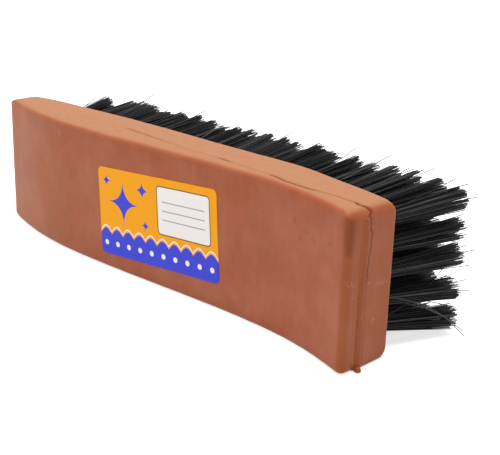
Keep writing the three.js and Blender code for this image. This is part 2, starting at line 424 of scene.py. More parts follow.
@dataclass(frozen=True)
class DrawnFilament(Finish):
    """Black plastic filament, drawn through a die.

    Each filament is smooth and a little shiny. A few are painted grey, a painted highlight that stands
    for the thin line of light along their length, and no two take quite the same black.
    """

    name = "drawn_black_filament"
    black: str = "#0B0B0D"
    # A few filaments take this grey as a painted highlight
    grey: str = "#55555B"
    roughness: float = 0.4
    ior: float = 1.5
    specular: float = 0.2

    def surface(self, tree: bpy.types.NodeTree) -> bpy.types.NodeSocket:
        """Adds the nodes of the surface.

        Args:
            tree: the material's nodes.

        Returns:
            The surface's shader.
        """
        tone = add_node(tree, "ShaderNodeAttribute", {"attribute_name": "tone"}).outputs["Fac"]
        colour = add_node(
            tree,
            "ShaderNodeMix",
            {"data_type": "RGBA"},
            {0: tone, 6: linear(self.black), 7: linear(self.grey)},
        )
        shader = add_node(
            tree,
            "ShaderNodeBsdfPrincipled",
            inputs={
                "Base Color": colour.outputs[2],
                "Roughness": self.roughness,
                "IOR": self.ior,
                "Specular IOR Level": self.specular,
            },
        )
        return shader.outputs["BSDF"]


@dataclass(frozen=True)
class DrawnSteel(Finish):
    """Bright drawn steel wire, whose shine is broken by the fine marks of the die."""

    name = "drawn_steel_wire"
    steel: str = "#A3A29E"
    # Real die marks are finer: they are drawn this coarse to show
    scratch_mm: float = 0.4
    scratch_octaves: float = 2.0
    roughness: float = 0.32
    roughness_swing: float = 0.1

    def surface(self, tree: bpy.types.NodeTree) -> bpy.types.NodeSocket:
        """Adds the nodes of the surface.

        Args:
            tree: the material's nodes.

        Returns:
            The surface's shader.
        """
        place = add_node(tree, "ShaderNodeTexCoord").outputs["Object"]
        marks = add_node(
            tree,
            "ShaderNodeTexNoise",
            inputs={"Vector": place, "Scale": per_metre(self.scratch_mm), "Detail": self.scratch_octaves},
        )
        rough = add_node(
            tree,
            "ShaderNodeMapRange",
            inputs={
                "Value": marks.outputs["Fac"],
                "To Min": self.roughness - self.roughness_swing,
                "To Max": self.roughness + self.roughness_swing,
            },
        )
        shader = add_node(
            tree,
            "ShaderNodeBsdfPrincipled",
            inputs={
                "Base Color": linear(self.steel), "Metallic": 1.0, "Roughness": rough.outputs["Result"]
            },
        )
        return shader.outputs["BSDF"]


LABEL_LENGTH = 59.0
LABEL_HEIGHT = 32.5


@dataclass(frozen=True)
class PrintedPaper(Finish):
    """Coated label paper, printed in flat inks.

    The coating gives an even, low gloss over a faint paper tooth. A scalloped border runs along the
    foot, a blank ruled panel fills the upper right and four-point sparkles stand at the left.
    """

    name = "printed_label_paper"
    amber: str = "#F7A402"
    blue: str = "#3C46D2"
    white: str = "#F2EEEA"
    brown: str = "#6B4A1E"
    rule: str = "#9A969C"
    bleed: float = 0.06
    border_top: float = -8.6
    scallop_rise: float = 2.2
    scallop_pitch: float = 5.9
    piping_gap: float = 0.95
    piping_half: float = 0.28
    piping_level: float = 0.5
    dot_row: float = -11.9
    dot_radius: float = 1.0
    panel_middle: tuple[float, float, float] = (13.6, 4.8, 0.0)
    panel_half: tuple[float, float, float] = (12.4, 8.4, 0.0)
    panel_corner: float = 1.2
    panel_line: float = 0.4
    rule_half: tuple[float, float, float] = (10.2, 5.8, 0.0)
    rule_pitch: float = 3.2
    rule_thick: float = 0.18
    # Along and up the label from its middle, and how far the points reach
    sparkles: tuple[tuple[float, float, float], ...] = (
        (-16.6, 4.2, 8.6),
        (-6.4, 10.4, 3.6),
        (-25.2, 11.6, 2.6),
        (-5.4, -2.2, 2.4),
    )
    # Real paper's tooth is finer: it is drawn this coarse to show
    tooth_mm: float = 0.5
    tooth_octaves: float = 2.0
    tooth_strength: float = 0.1
    tooth_depth_mm: float = 0.1
    roughness: float = 0.42
    roughness_swing: float = 0.06
    ior: float = 1.5
    specular: float = 0.15

    def inked(
        self,
        tree: bpy.types.NodeTree,
        ground: bpy.types.NodeSocket | tuple[float, float, float, float],
        outside: bpy.types.NodeSocket,
        ink: str,
    ) -> bpy.types.NodeSocket:
        """Lays an ink over the ground.

        Args:
            tree: the material's nodes.
            ground: the colour so far.
            outside: how far each point is outside the inked shape, in millimetres, below 0 inside it.
            ink: the ink's colour.

        Returns:
            The colour with the ink on it.
        """
        wet = add_node(
            tree,
            "ShaderNodeMapRange",
            inputs={"Value": outside, "From Min": self.bleed, "From Max": -self.bleed},
        )
        both = add_node(
            tree,
            "ShaderNodeMix",
            {"data_type": "RGBA"},
            {0: wet.outputs["Result"], 6: ground, 7: linear(ink)},
        )
        return both.outputs[2]

    def border(
        self, tree: bpy.types.NodeTree, spot: bpy.types.NodeSocket, ground: bpy.types.NodeSocket
    ) -> bpy.types.NodeSocket:
        """Prints the scalloped border, the piping above it and the row of dots in it.

        Args:
            tree: the material's nodes.
            spot: the point on the label, in millimetres from its middle.
            ground: the colour so far.

        Returns:
            The colour with the border on it.
        """
        axes = add_node(tree, "ShaderNodeSeparateXYZ", inputs={0: spot})
        turn = add_node(
            tree,
            "ShaderNodeMath",
            {"operation": "MULTIPLY"},
            {0: axes.outputs["X"], 1: math.pi / self.scallop_pitch},
        )
        wave = add_node(tree, "ShaderNodeMath", {"operation": "SINE"}, {0: turn.outputs[0]})
        humps = add_node(tree, "ShaderNodeMath", {"operation": "ABSOLUTE"}, {0: wave.outputs[0]})
        top = add_node(
            tree,
            "ShaderNodeMath",
            {"operation": "MULTIPLY_ADD"},
            {0: humps.outputs[0], 1: self.scallop_rise, 2: self.border_top},
        )
        above = add_node(
            tree, "ShaderNodeMath", {"operation": "SUBTRACT"}, {0: axes.outputs["Y"], 1: top.outputs[0]}
        )
        piping = add_node(
            tree,
            "ShaderNodeMath",
            {"operation": "COMPARE"},
            {0: above.outputs[0], 1: self.piping_gap, 2: self.piping_half},
        )
        off_piping = add_node(
            tree, "ShaderNodeMath", {"operation": "SUBTRACT"}, {0: self.piping_level, 1: piping.outputs[0]}
        )
        across = add_node(
            tree,
            "ShaderNodeMath",
            {"operation": "WRAP"},
            {0: axes.outputs["X"], 1: self.scallop_pitch, 2: 0.0},
        )
        cell = add_node(tree, "ShaderNodeCombineXYZ", inputs={0: across.outputs[0], 1: axes.outputs["Y"]})
        dot = add_node(
            tree,
            "ShaderNodeVectorMath",
            {"operation": "DISTANCE"},
            {0: cell.outputs[0], 1: (self.scallop_pitch / 2, self.dot_row, 0.0)},
        )
        off_dot = add_node(
            tree, "ShaderNodeMath", {"operation": "SUBTRACT"}, {0: dot.outputs["Value"], 1: self.dot_radius}
        )
        colour = self.inked(tree, ground, above.outputs[0], self.blue)
        colour = self.inked(tree, colour, off_piping.outputs[0], self.white)
        return self.inked(tree, colour, off_dot.outputs[0], self.white)

    def panel(
        self, tree: bpy.types.NodeTree, spot: bpy.types.NodeSocket, ground: bpy.types.NodeSocket
    ) -> bpy.types.NodeSocket:
        """Prints the blank panel, its outline and its ruled lines.

        Args:
            tree: the material's nodes.
            spot: the point on the label, in millimetres from its middle.
            ground: the colour so far.

        Returns:
            The colour with the panel on it.
        """
        from_middle = add_node(
            tree, "ShaderNodeVectorMath", {"operation": "SUBTRACT"}, {0: spot, 1: self.panel_middle}
        )
        away = add_node(tree, "ShaderNodeVectorMath", {"operation": "ABSOLUTE"}, {0: from_middle.outputs[0]})
        core = tuple(max(half - self.panel_corner, 0.0) for half in self.panel_half)
        past = add_node(
            tree, "ShaderNodeVectorMath", {"operation": "SUBTRACT"}, {0: away.outputs[0], 1: core}
        )
        beyond = add_node(
            tree, "ShaderNodeVectorMath", {"operation": "MAXIMUM"}, {0: past.outputs[0], 1: (0.0, 0.0, 0.0)}
        )
        reach = add_node(tree, "ShaderNodeVectorMath", {"operation": "LENGTH"}, {0: beyond.outputs[0]})
        outside = add_node(
            tree,
            "ShaderNodeMath",
            {"operation": "SUBTRACT"},
            {0: reach.outputs["Value"], 1: self.panel_corner},
        )
        outlined = add_node(
            tree, "ShaderNodeMath", {"operation": "SUBTRACT"}, {0: outside.outputs[0], 1: self.panel_line}
        )
        axes = add_node(tree, "ShaderNodeSeparateXYZ", inputs={0: from_middle.outputs[0]})
        between = add_node(
            tree,
            "ShaderNodeMath",
            {"operation": "PINGPONG"},
            {0: axes.outputs["Y"], 1: self.rule_pitch / 2},
        )
        past_rules = add_node(
            tree, "ShaderNodeVectorMath", {"operation": "SUBTRACT"}, {0: away.outputs[0], 1: self.rule_half}
        )
        sides = add_node(tree, "ShaderNodeSeparateXYZ", inputs={0: past_rules.outputs[0]})
        off_rule = add_node(
            tree, "ShaderNodeMath", {"operation": "SUBTRACT"}, {0: between.outputs[0], 1: self.rule_thick}
        )
        off_block = add_node(
            tree, "ShaderNodeMath", {"operation": "MAXIMUM"}, {0: sides.outputs["X"], 1: sides.outputs["Y"]}
        )
        ruled = add_node(
            tree,
            "ShaderNodeMath",
            {"operation": "MAXIMUM"},
            {0: off_rule.outputs[0], 1: off_block.outputs[0]},
        )
        colour = self.inked(tree, ground, outlined.outputs[0], self.brown)
        colour = self.inked(tree, colour, outside.outputs[0], self.white)
        return self.inked(tree, colour, ruled.outputs[0], self.rule)

    def sparkle(
        self,
        tree: bpy.types.NodeTree,
        spot: bpy.types.NodeSocket,
        ground: bpy.types.NodeSocket | tuple[float, float, float, float],
        place: tuple[float, float, float],
    ) -> bpy.types.NodeSocket:
        """Prints one four-point sparkle.

        Args:
            tree: the material's nodes.
            spot: the point on the label, in millimetres from its middle.
            ground: the colour so far.
            place: where the sparkle's middle is along and up the label, and how far its points reach.

        Returns:
            The colour with the sparkle on it.
        """
        along, up, size = place
        from_middle = add_node(
            tree, "ShaderNodeVectorMath", {"operation": "SUBTRACT"}, {0: spot, 1: (along, up, 0.0)}
        )
        away = add_node(tree, "ShaderNodeVectorMath", {"operation": "ABSOLUTE"}, {0: from_middle.outputs[0]})
        axes = add_node(tree, "ShaderNodeSeparateXYZ", inputs={0: away.outputs[0]})
        roots = [
            add_node(tree, "ShaderNodeMath", {"operation": "SQRT"}, {0: axes.outputs[axis]}) for axis in "XY"
        ]
        both = add_node(
            tree, "ShaderNodeMath", {"operation": "ADD"}, {0: roots[0].outputs[0], 1: roots[1].outputs[0]}
        )
        outside = add_node(
            tree, "ShaderNodeMath", {"operation": "SUBTRACT"}, {0: both.outputs[0], 1: math.sqrt(size)}
        )
        return self.inked(tree, ground, outside.outputs[0], self.blue)

    def surface(self, tree: bpy.types.NodeTree) -> bpy.types.NodeSocket:
        """Adds the nodes of the surface.

        Args:
            tree: the material's nodes.

        Returns:
            The surface's shader.
        """
        size = (LABEL_LENGTH, LABEL_HEIGHT, 0.0)
        flat = add_node(tree, "ShaderNodeUVMap", {"uv_map": PRINT_MAP})
        spot = add_node(
            tree,
            "ShaderNodeVectorMath",
            {"operation": "MULTIPLY_ADD"},
            {0: flat.outputs["UV"], 1: size, 2: tuple(-side / 2 for side in size)},
        ).outputs[0]
        colour = linear(self.amber)
        for place in self.sparkles:
            colour = self.sparkle(tree, spot, colour, place)
        colour = self.border(tree, spot, colour)
        colour = self.panel(tree, spot, colour)
        place = add_node(tree, "ShaderNodeTexCoord").outputs["Object"]
        tooth = add_node(
            tree,
            "ShaderNodeTexNoise",
            inputs={"Vector": place, "Scale": per_metre(self.tooth_mm), "Detail": self.tooth_octaves},
        )
        rough = add_node(
            tree,
            "ShaderNodeMapRange",
            inputs={
                "Value": tooth.outputs["Fac"],
                "To Min": self.roughness - self.roughness_swing,
                "To Max": self.roughness + self.roughness_swing,
            },
        )
        bump = add_node(
            tree,
            "ShaderNodeBump",
            inputs={
                "Strength": self.tooth_strength,
                "Distance": self.tooth_depth_mm * MM,
                "Height": tooth.outputs["Fac"],
            },
        )
        shader = add_node(
            tree,
            "ShaderNodeBsdfPrincipled",
            inputs={
                "Base Color": colour,
                "Roughness": rough.outputs["Result"],
                "IOR": self.ior,
                "Specular IOR Level": self.specular,
                "Normal": bump.outputs["Normal"],
            },
        )
        return shader.outputs["BSDF"]


@dataclass(frozen=True)
class StudioFloor(Finish):
    """Matt white paper under the object, which keeps the object's shadow and fades to plain white."""

    name = "white_paper_floor"
    white: str = "#E4E4E4"
    lift: float = 0.68
    far_lift: float = 1.0
    fade_from_mm: float = 260.0
    fade_to_mm: float = 700.0

    def surface(self, tree: bpy.types.NodeTree) -> bpy.types.NodeSocket:
        """Adds the nodes of the surface.

        Args:
            tree: the material's nodes.

        Returns:
            The surface's shader.
        """
        paper = add_node(tree, "ShaderNodeBsdfDiffuse", inputs={"Color": linear(self.white)})
        place = add_node(tree, "ShaderNodeTexCoord").outputs["Object"]
        away = add_node(tree, "ShaderNodeVectorMath", {"operation": "LENGTH"}, {0: place})
        glow = add_node(
            tree,
            "ShaderNodeMapRange",
            inputs={
                "Value": away.outputs["Value"],
                "From Min": self.fade_from_mm * MM,
                "From Max": self.fade_to_mm * MM,
                "To Min": self.lift,
                "To Max": self.far_lift,
            },
        )
        seen = add_node(
            tree,
            "ShaderNodeMath",
            {"operation": "MULTIPLY"},
            {0: seen_rays(tree), 1: glow.outputs["Result"]},
        )
        lifted = add_node(tree, "ShaderNodeEmission", inputs={"Strength": seen.outputs[0]})
        both = add_node(tree, "ShaderNodeAddShader", inputs={0: paper.outputs[0], 1: lifted.outputs[0]})
        return both.outputs[0]


def seen_rays(tree: bpy.types.NodeTree) -> bpy.types.NodeSocket:
    """Tells the rays that are seen from the rays that light things.

    Args:
        tree: the nodes of a material or of the world.

    Returns:
        1 for rays from the camera, a reflection or glass, and 0 for the others.
    """
    path = add_node(tree, "ShaderNodeLightPath")
    either = add_node(
        tree,
        "ShaderNodeMath",
        {"operation": "MAXIMUM"},
        {0: path.outputs["Is Camera Ray"], 1: path.outputs["Is Glossy Ray"]},
    )
    seen = add_node(
        tree,
        "ShaderNodeMath",
        {"operation": "MAXIMUM"},
        {0: either.outputs[0], 1: path.outputs["Is Transmission Ray"]},
    )
    return seen.outputs[0]


class Half(Enum):
    """The two halves of the back, by the CAD node that each stands for."""

    COVER = "back_cover"
    STOCK = "bristle_stock"


@dataclass(frozen=True)
class Knee:
    """A rise of the bristle face over its even bow, and how far it runs out to either side."""

    x: float
    rise: float
    run_before: float
    run_after: float


@dataclass(frozen=True)
class BlockProfile:
    """Side view of the back. Depths run towards the hand from the crown of the bristle face."""

    half_length: float
    width: float
    origin: tuple[float, float, float]
    scoop_end_depth: float = 29.7
    scoop_depth: float = 21.8
    scoop_from_end: float = 42.0
    swell_depth: float = 26.4
    swell_from_end: float = 50.0
    swell_end_depth: float = 18.0
    face_drop: float = 7.6
    face_bow: float = 3.0
    knees: tuple[Knee, ...] = (Knee(53.0, 1.6, 22.0, 14.0), Knee(-84.0, 1.8, 14.0, 14.0))
    joint_depth_at_scoop_end: float = 20.5
    joint_depth_at_swell_end: float = 11.0
    # X, and how far the seam has strayed from the joint there
    seam_shift: tuple[tuple[float, float], ...] = (
        (-40, 0.0), (-22, 0.5), (-6, 0.0), (12, -0.2), (29, 0.6), (55, 0.5), (61, -0.6), (71, -0.6),
        (80, 0.6), (89.5, 0.4), (90.6, -0.2), (92.2, 0.3), (93.4, 1.2), (94.3, 1.9), (94.6, 0.6), (95, -0.6),
    )
    seam_shake: float = 0.2
    seam_shake_mm: float = 2.6
    seam_shake_run: float = 10.0

    @classmethod
    def from_frame(cls) -> BlockProfile:
        """Reads the length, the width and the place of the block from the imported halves.

        Returns:
            The block's side view.
        """
        low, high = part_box(Half.COVER.value)
        _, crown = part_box(Half.STOCK.value)
        middle = (high.x + low.x) / 2 / MM
        return cls((high.x - low.x) / 2 / MM, high.z / MM, (middle, crown.y / MM, 0.0))

    def back_y(self, x: np.ndarray) -> np.ndarray:
        """Y of the hand side: an arched scoop, an S-shaped rise and an arched palm swell.

        Args:
            x: places along the block.

        Returns:
            Y at each place.
        """
        scoop_x = self.half_length - self.scoop_from_end
        swell_x = self.swell_from_end - self.half_length
        past_scoop = (x - scoop_x) / self.scoop_from_end
        past_swell = (swell_x - x) / self.swell_from_end
        ease = (1 - np.cos(np.pi * (x - swell_x) / (scoop_x - swell_x))) / 2
        scoop = self.scoop_depth + (self.scoop_end_depth - self.scoop_depth) * past_scoop**2
        swell = self.swell_depth + (self.swell_end_depth - self.swell_depth) * past_swell**2
        rise = self.swell_depth + (self.scoop_depth - self.swell_depth) * ease
        return -np.where(x > scoop_x, scoop, np.where(x < swell_x, swell, rise))

    def bow_y(self, x: np.ndarray) -> np.ndarray:
        """Y of the even bow that the bristles are trimmed to."""
        return -self.face_drop * np.abs(x / self.half_length) ** self.face_bow

    def face_y(self, x: np.ndarray) -> np.ndarray:
        """Y of the bristle face, which keeps straight up to a knee and then falls to each end.

        Args:
            x: places along the block.

        Returns:
            Y at each place.
        """
        y = self.bow_y(x)
        for knee in self.knees:
            run = np.where(x < knee.x, knee.run_before, knee.run_after)
            y = y + knee.rise * np.exp(-(((x - knee.x) / run) ** 2))
        return y

    def joint_y(self, x: np.ndarray) -> np.ndarray:
        """Y of the straight joint that the two halves are cut at.

        Args:
            x: places along the block.

        Returns:
            Y at each place.
        """
        share = (x + self.half_length) / (2 * self.half_length)
        fall = self.joint_depth_at_scoop_end - self.joint_depth_at_swell_end
        return -self.joint_depth_at_swell_end - fall * share

    def seam_y(self, x: np.ndarray) -> np.ndarray:
        """Y of the seam that shows, which strays a little from the joint.

        Args:
            x: places along the block.

        Returns:
            Y at each place.
        """
        at, shift = zip(*self.seam_shift)
        flat = np.ravel(x)
        shake = rough_wave(np.stack([flat, 0 * flat, 0 * flat], -1), self.seam_shake_mm)
        held = np.clip((flat - at[0]) / self.seam_shake_run, 0, 1)
        stray = np.interp(flat, at, shift) + self.seam_shake * shake * held
        return self.joint_y(x) + stray.reshape(np.shape(x))


@dataclass(frozen=True)
class TuftField:
    """Where the tufts stand."""

    columns: int = 22
    rows: int = 5
    middle_x: float = 5.0
    column_pitch: float = 7.85
    row_pitch: float = 8.4
    banks: int = 4

    def x_of(self, column: np.ndarray) -> np.ndarray:
        """X of a column of tufts."""
        return self.middle_x + (column - (self.columns - 1) / 2) * self.column_pitch

    def z_of(self, row: np.ndarray, width: float) -> np.ndarray:
        """Z of a row of tufts."""
        return width / 2 + (row - (self.rows - 1) / 2) * self.row_pitch

    def along(self, column: np.ndarray) -> np.ndarray:
        """How far a column is towards an end of the tufts, from -1 to 1."""
        return 2 * column / (self.columns - 1) - 1

    def across(self, row: np.ndarray) -> np.ndarray:
        """How far a row is towards a side, from -1 to 1."""
        return 2 * row / (self.rows - 1) - 1

    def from_nearest(self, x: np.ndarray, z: np.ndarray, width: float) -> np.ndarray:
        """Distance from each point of the face to the middle of the nearest tuft.

        Args:
            x: the points' places along the block.
            z: their heights.
            width: the block's width.

        Returns:
            The distance of each point.
        """
        column = np.clip(np.round((x - self.x_of(0)) / self.column_pitch), 0, self.columns - 1)
        row = np.clip(np.round((z - self.z_of(0, width)) / self.row_pitch), 0, self.rows - 1)
        return np.hypot(x - self.x_of(column), z - self.z_of(row, width))

    def bank_columns(self, bank: int) -> range:
        """The columns of a bank, counted from 0 at the swell end."""
        first, after = (math.floor(i * self.columns / self.banks + 0.5) for i in (bank, bank + 1))
        return range(first, after)


class Blemish(Enum):
    """Small faults of the moulded surface, and patches of painted shade."""

    PIT = "pit"
    FLECK = "fleck"
    BUMP = "bump"
    BURN = "corner_shade"


@dataclass(frozen=True)
class Mark:
    """One small fault, or one patch of painted shade: what it is, where its middle is and how far it
    reaches.
    """

    kind: Blemish
    place: tuple[float, float, float]
    reach: float


@dataclass(frozen=True)
class EdgeRounds:
    """Rounds of a half's outer edges, and how far the deeper orange of its ends reaches in: partly wear,
    partly painted shade.
    """

    long_edge: float
    long_edge_near: float
    near_top: float
    near_foot: float
    near_run: float
    near_rise: float
    far_top: float
    far_foot: float
    far_run: float
    far_rise: float
    wear_and_shade_reach: float


ROUNDS = {
    Half.COVER: EdgeRounds(
        long_edge=1.7,
        long_edge_near=2.2,
        near_top=3.8,
        near_foot=2.0,
        near_run=3.2,
        near_rise=3.2,
        far_top=3.6,
        far_foot=4.6,
        far_run=1.2,
        far_rise=1.2,
        wear_and_shade_reach=11.0,
    ),
    Half.STOCK: EdgeRounds(
        long_edge=2.8,
        long_edge_near=3.6,
        near_top=3.8,
        near_foot=1.2,
        near_run=1.3,
        near_rise=1.1,
        far_top=3.6,
        far_foot=4.6,
        far_run=4.0,
        far_rise=1.4,
        wear_and_shade_reach=6.0,
    ),
}

MARKS = (
    Mark(Blemish.BUMP, (-48.8, -26.4, 45.5), 0.8),
    Mark(Blemish.FLECK, (-48.8, -26.4, 45.5), 0.8),
    # Painted shade down the upper part of the near end's rounded corner on the hand side
    Mark(Blemish.BURN, (94.0, -27.3, 47.2), 1.9),
    Mark(Blemish.BURN, (94.2, -27.6, 45.7), 1.9),
    Mark(Blemish.BURN, (94.2, -27.7, 44.2), 1.9),
    Mark(Blemish.BURN, (94.2, -27.8, 42.7), 1.8),
    Mark(Blemish.BURN, (94.2, -27.8, 41.2), 1.7),
    Mark(Blemish.BURN, (94.2, -27.9, 39.7), 1.5),
    Mark(Blemish.BURN, (94.2, -27.9, 38.4), 1.2),
    Mark(Blemish.PIT, (68.7, -22.9, 40.8), 1.0),
    Mark(Blemish.PIT, (71.5, -23.3, 35.8), 0.7),
    Mark(Blemish.PIT, (74.6, -23.9, 38.7), 0.7),
    Mark(Blemish.PIT, (78.2, -24.6, 37.3), 0.7),
    Mark(Blemish.PIT, (86.2, -26.7, 38.7), 0.9),
    Mark(Blemish.FLECK, (94.6, -26.0, 28.4), 0.8),
    Mark(Blemish.FLECK, (94.6, -25.6, 24.6), 0.7),
    Mark(Blemish.FLECK, (95.0, -14.8, 17.0), 0.7),
    Mark(Blemish.FLECK, (95.0, -15.5, 14.6), 0.6),
)


@dataclass
class MouldedHalf:
    """One half of the back: sections from end to end, with rounded ends and long edges."""

    profile: BlockProfile
    tufts: TuftField
    half: Half
    finish: bpy.types.Material
    # Grid of the loft
    sections: int = 320
    end_run: float = 5.0
    soft_run: float = 8.0
    end_steps: int = 14
    arc_steps: int = 7
    side_steps: int = 10
    face_steps: int = 96
    cap_rings: int = 14
    # Form
    draft: float = 0.35
    palm_growth: float = 1.0
    palm_growth_run: float = 14.0
    least_round: float = 0.03
    thin_share: float = 0.7
    # X, and how far the seam has opened there
    seam_open: tuple[tuple[float, float], ...] = (
        (-27, 0.0), (-21, 0.18), (-4, 0.12), (4, 0.03), (27, 0.03), (29, 0.24), (33, 0.24), (35, 0.05),
        (52, 0.05), (54, 0.36), (72, 0.3), (75, 0.09), (87, 0.12), (88.5, 0.16), (89.5, 0.6), (94, 0.9),
        (94.7, 0.5), (95, 0.25),
    )
    seam_gap_share: float = 0.3
    # The open seam's painted shade: where it is full, how deep it goes and how far it spreads
    seam_dark_at: float = 0.25
    seam_dark: float = 0.8
    seam_reach: float = 0.3
    seam_spread: float = 0.6
    # Bores, bumps and pits
    bore_round: float = 2.5
    bore_sink: float = 0.7
    bore_lip_share: float = 0.25
    pit_sink: float = 0.12
    bump_rise: float = 0.35
    ripple_run: float = 2.0
    # Worn edges with painted shade, dusty level sides with painted sheen, scuffs, and a painted highlight on
    # the stock's rim
    edge_reach: float = 2.2
    long_edge_share: float = 0.42
    level_edge_share: float = 0.4
    ridge_share: float = 0.75
    rim_highlight: float = 1.2
    rim_highlight_reach: float = 0.9
    dust_and_sheen_edge_loss: float = 0.4
    dust_and_sheen_edge_reach: float = 2.6
    bloom_and_sheen: float = 0.22
    bloom_and_sheen_from: float = -15.0
    bloom_and_sheen_run: float = 60.0
    scuff_height: float = 27.0
    scuff_depth: float = 18.0
    scuff_slope: float = 0.2
    scuff_reach: float = 0.6
    scuff_from_end: float = 9.0
    scuff_and_highlight_strength: float = 0.36
    scuff_gap_mm: float = 3.0
    scuff_mean: float = 0.35
    scuff_swing: float = 1.5
    dust_and_sheen_from: float = 0.7
    dust_and_sheen_to: float = 1.0
    pit_strength: float = 0.4
    corner_shade_strength: float = 1.15
    corner_shade_dark: float = 0.75

    def stations(self) -> np.ndarray:
        """Places the sections, closer together round the ends.

        Returns:
            X of each section, from the palm end.
        """
        swing = np.linspace(0, math.pi / 2, self.end_steps + 1)
        run = self.profile.half_length - self.end_run
        end_x = run + self.end_run * np.cos(swing)
        middle = np.linspace(-run, run, self.sections)[1:-1]
        return np.concatenate([-end_x, middle, end_x[::-1]])

    def opening(self, x: np.ndarray) -> np.ndarray:
        """How far the seam has opened, along the brush."""
        at, wide = zip(*self.seam_open)
        return np.interp(x, at, wide)

    def end_cut(self, x: np.ndarray) -> np.ndarray:
        """How far the rounds at the two ends cut into the half's depth.

        Args:
            x: places along the block.

        Returns:
            The cut at each place.
        """
        rounds, length = ROUNDS[self.half], self.profile.half_length
        near = quarter_round(length - x, rounds.near_run, rounds.near_rise)
        return near + quarter_round(length + x, rounds.far_run, rounds.far_rise)

    def loops(self) -> np.ndarray:
        """Works out the sections.

        Returns:
            X, Y and Z of each point of each section, anticlockwise seen from the near end.
        """
        x = self.stations()[:, None]
        profile, rounds = self.profile, ROUNDS[self.half]
        opening = self.opening(x)
        gap = (self.least_round + self.seam_gap_share * opening) / 2
        to_near, to_far = profile.half_length - x, profile.half_length + x
        foot = quarter_round(to_far, rounds.far_foot, rounds.far_foot)
        foot = foot + quarter_round(to_near, rounds.near_foot, rounds.near_foot)
        head = quarter_round(to_far, rounds.far_top, rounds.far_top)
        head = head + quarter_round(to_near, rounds.near_top, rounds.near_top)
        if self.half is Half.COVER:
            low, high = profile.back_y(x) + self.end_cut(x), profile.seam_y(x) - gap
        else:
            low, high = profile.seam_y(x) + gap, profile.face_y(x) - self.end_cut(x)
        softer = rounds.long_edge_near - rounds.long_edge
        edge = rounds.long_edge + softer * np.exp(-to_near / self.soft_run)
        most = self.thin_share * (high - low)
        outer = [np.maximum(np.minimum(edge - cut, most), self.least_round) for cut in (foot, head)]
        seam = np.minimum(self.least_round + opening, (high - low) * (1 - self.thin_share))
        inner = [seam, seam]
        low_rounds, high_rounds = (outer, inner) if self.half is Half.COVER else (inner, outer)
        low_foot, low_head = low_rounds
        high_foot, high_head = high_rounds
        top = profile.width - head
        arc = np.linspace(0, math.pi / 2, self.arc_steps + 1)[None, :]
        out, over = 1 - np.cos(arc), 1 - np.sin(arc)
        side = np.linspace(0, 1, self.side_steps + 1)[None, 1:-1]
        face = np.linspace(0, 1, self.face_steps + 1)[None, 1:-1]
        y = [
            low + low_foot * out,
            low + low_foot + (high - high_foot - low - low_foot) * side,
            high - high_foot * over,
            high + 0 * face,
            high - high_head * out,
            high - high_head + (low + low_head - high + high_head) * side,
            low + low_head * over,
            low + 0 * face,
        ]
        z = [
            foot + low_foot * over,
            foot + 0 * side,
            foot + high_foot * out,
            foot + high_foot + (top - high_head - foot - high_foot) * face,
            top - high_head * over,
            top + 0 * side,
            top - low_head * out,
            top - low_head + (foot + low_foot - top + low_head) * face,
        ]
        y, z = np.concatenate(y, 1), np.concatenate(z, 1)
        return np.stack([x + 0 * y, y, z], -1)

    def capped(self, loops: np.ndarray) -> np.ndarray:
        """Adds shrinking rings over both ends.

        Args:
            loops: the points of each section.

        Returns:
            The sections with the rings before the first and after the last of them.
        """
        shrink = np.linspace(0, 1, self.cap_rings + 1)[1:-1, None, None]
        far = loops[:1].mean(1, keepdims=True) * (1 - shrink) + loops[:1] * shrink
        near = loops[-1:].mean(1, keepdims=True) * (1 - shrink) + loops[-1:] * shrink
        return np.concatenate([far, loops, near[::-1]])

    def shaped(self, points: np.ndarray) -> np.ndarray:
        """Leans the sides in from the seam, draws the palm end out and sinks the face round each tuft.

        Args:
            points: one row per vertex.

        Returns:
            The points, moved.
        """
        x, y, z = points.T
        profile = self.profile
        middle = profile.width / 2
        from_seam = np.abs(y - profile.seam_y(x))
        lean = self.draft * from_seam / profile.joint_depth_at_scoop_end
        z = z - lean * (z - middle) / middle
        from_palm_end = (x + profile.half_length) / self.palm_growth_run
        x = x - self.palm_growth * np.clip(1 - from_palm_end, 0, 1) ** 2
        if self.half is Half.STOCK:
            on_face = y > profile.face_y(x) - self.bore_sink
            near = self.tufts.from_nearest(x, z, profile.width) / self.bore_round
            sink = self.bore_sink * smooth_step((1 - near) / self.bore_lip_share)
            y = y - np.where(on_face, sink, 0)
        return np.stack([x, y, z], -1)

    def edge_share(self, points: np.ndarray) -> np.ndarray:
        """Works out the deeper orange of the outer edges: partly wear from handling, partly painted shade.

        Args:
            points: one row per vertex.

        Returns:
            The share of wear and painted shade at each point, from 0 to 1.
        """
        x, y, z = points.T
        profile = self.profile
        outer = y - profile.back_y(x) if self.half is Half.COVER else profile.face_y(x) - y
        end, side = profile.half_length - np.abs(x), np.abs(outer)
        level = np.minimum(z, profile.width - z)
        second = np.sort(np.stack([end, side, level]), 0)[1]
        long_edge = self.long_edge_share * np.exp(-((second / self.edge_reach) ** 2))
        # On the ends, the orange deepens in from the hand and bristle sides: painted shade on the rounded
        # corners, with some wear
        ridge = self.ridge_share * np.exp(-((side / ROUNDS[self.half].wear_and_shade_reach) ** 2))
        rim = self.level_edge_share * np.exp(-((level / self.edge_reach) ** 2))
        return np.where(end < self.edge_reach, np.maximum(ridge, rim), long_edge)

    def marked(self, points: np.ndarray, kind: Blemish) -> np.ndarray:
        """Works out how far each point is into a mark of one kind.

        Args:
            points: one row per vertex.
            kind: the kind of mark.

        Returns:
            1 at the middle of a mark, falling to 0 round it.
        """
        share = np.zeros(len(points))
        for mark in MARKS:
            if mark.kind is kind:
                away = np.linalg.norm(points - np.array(mark.place), axis=1) / mark.reach
                share = np.maximum(share, np.exp(-(away**2)))
        return share

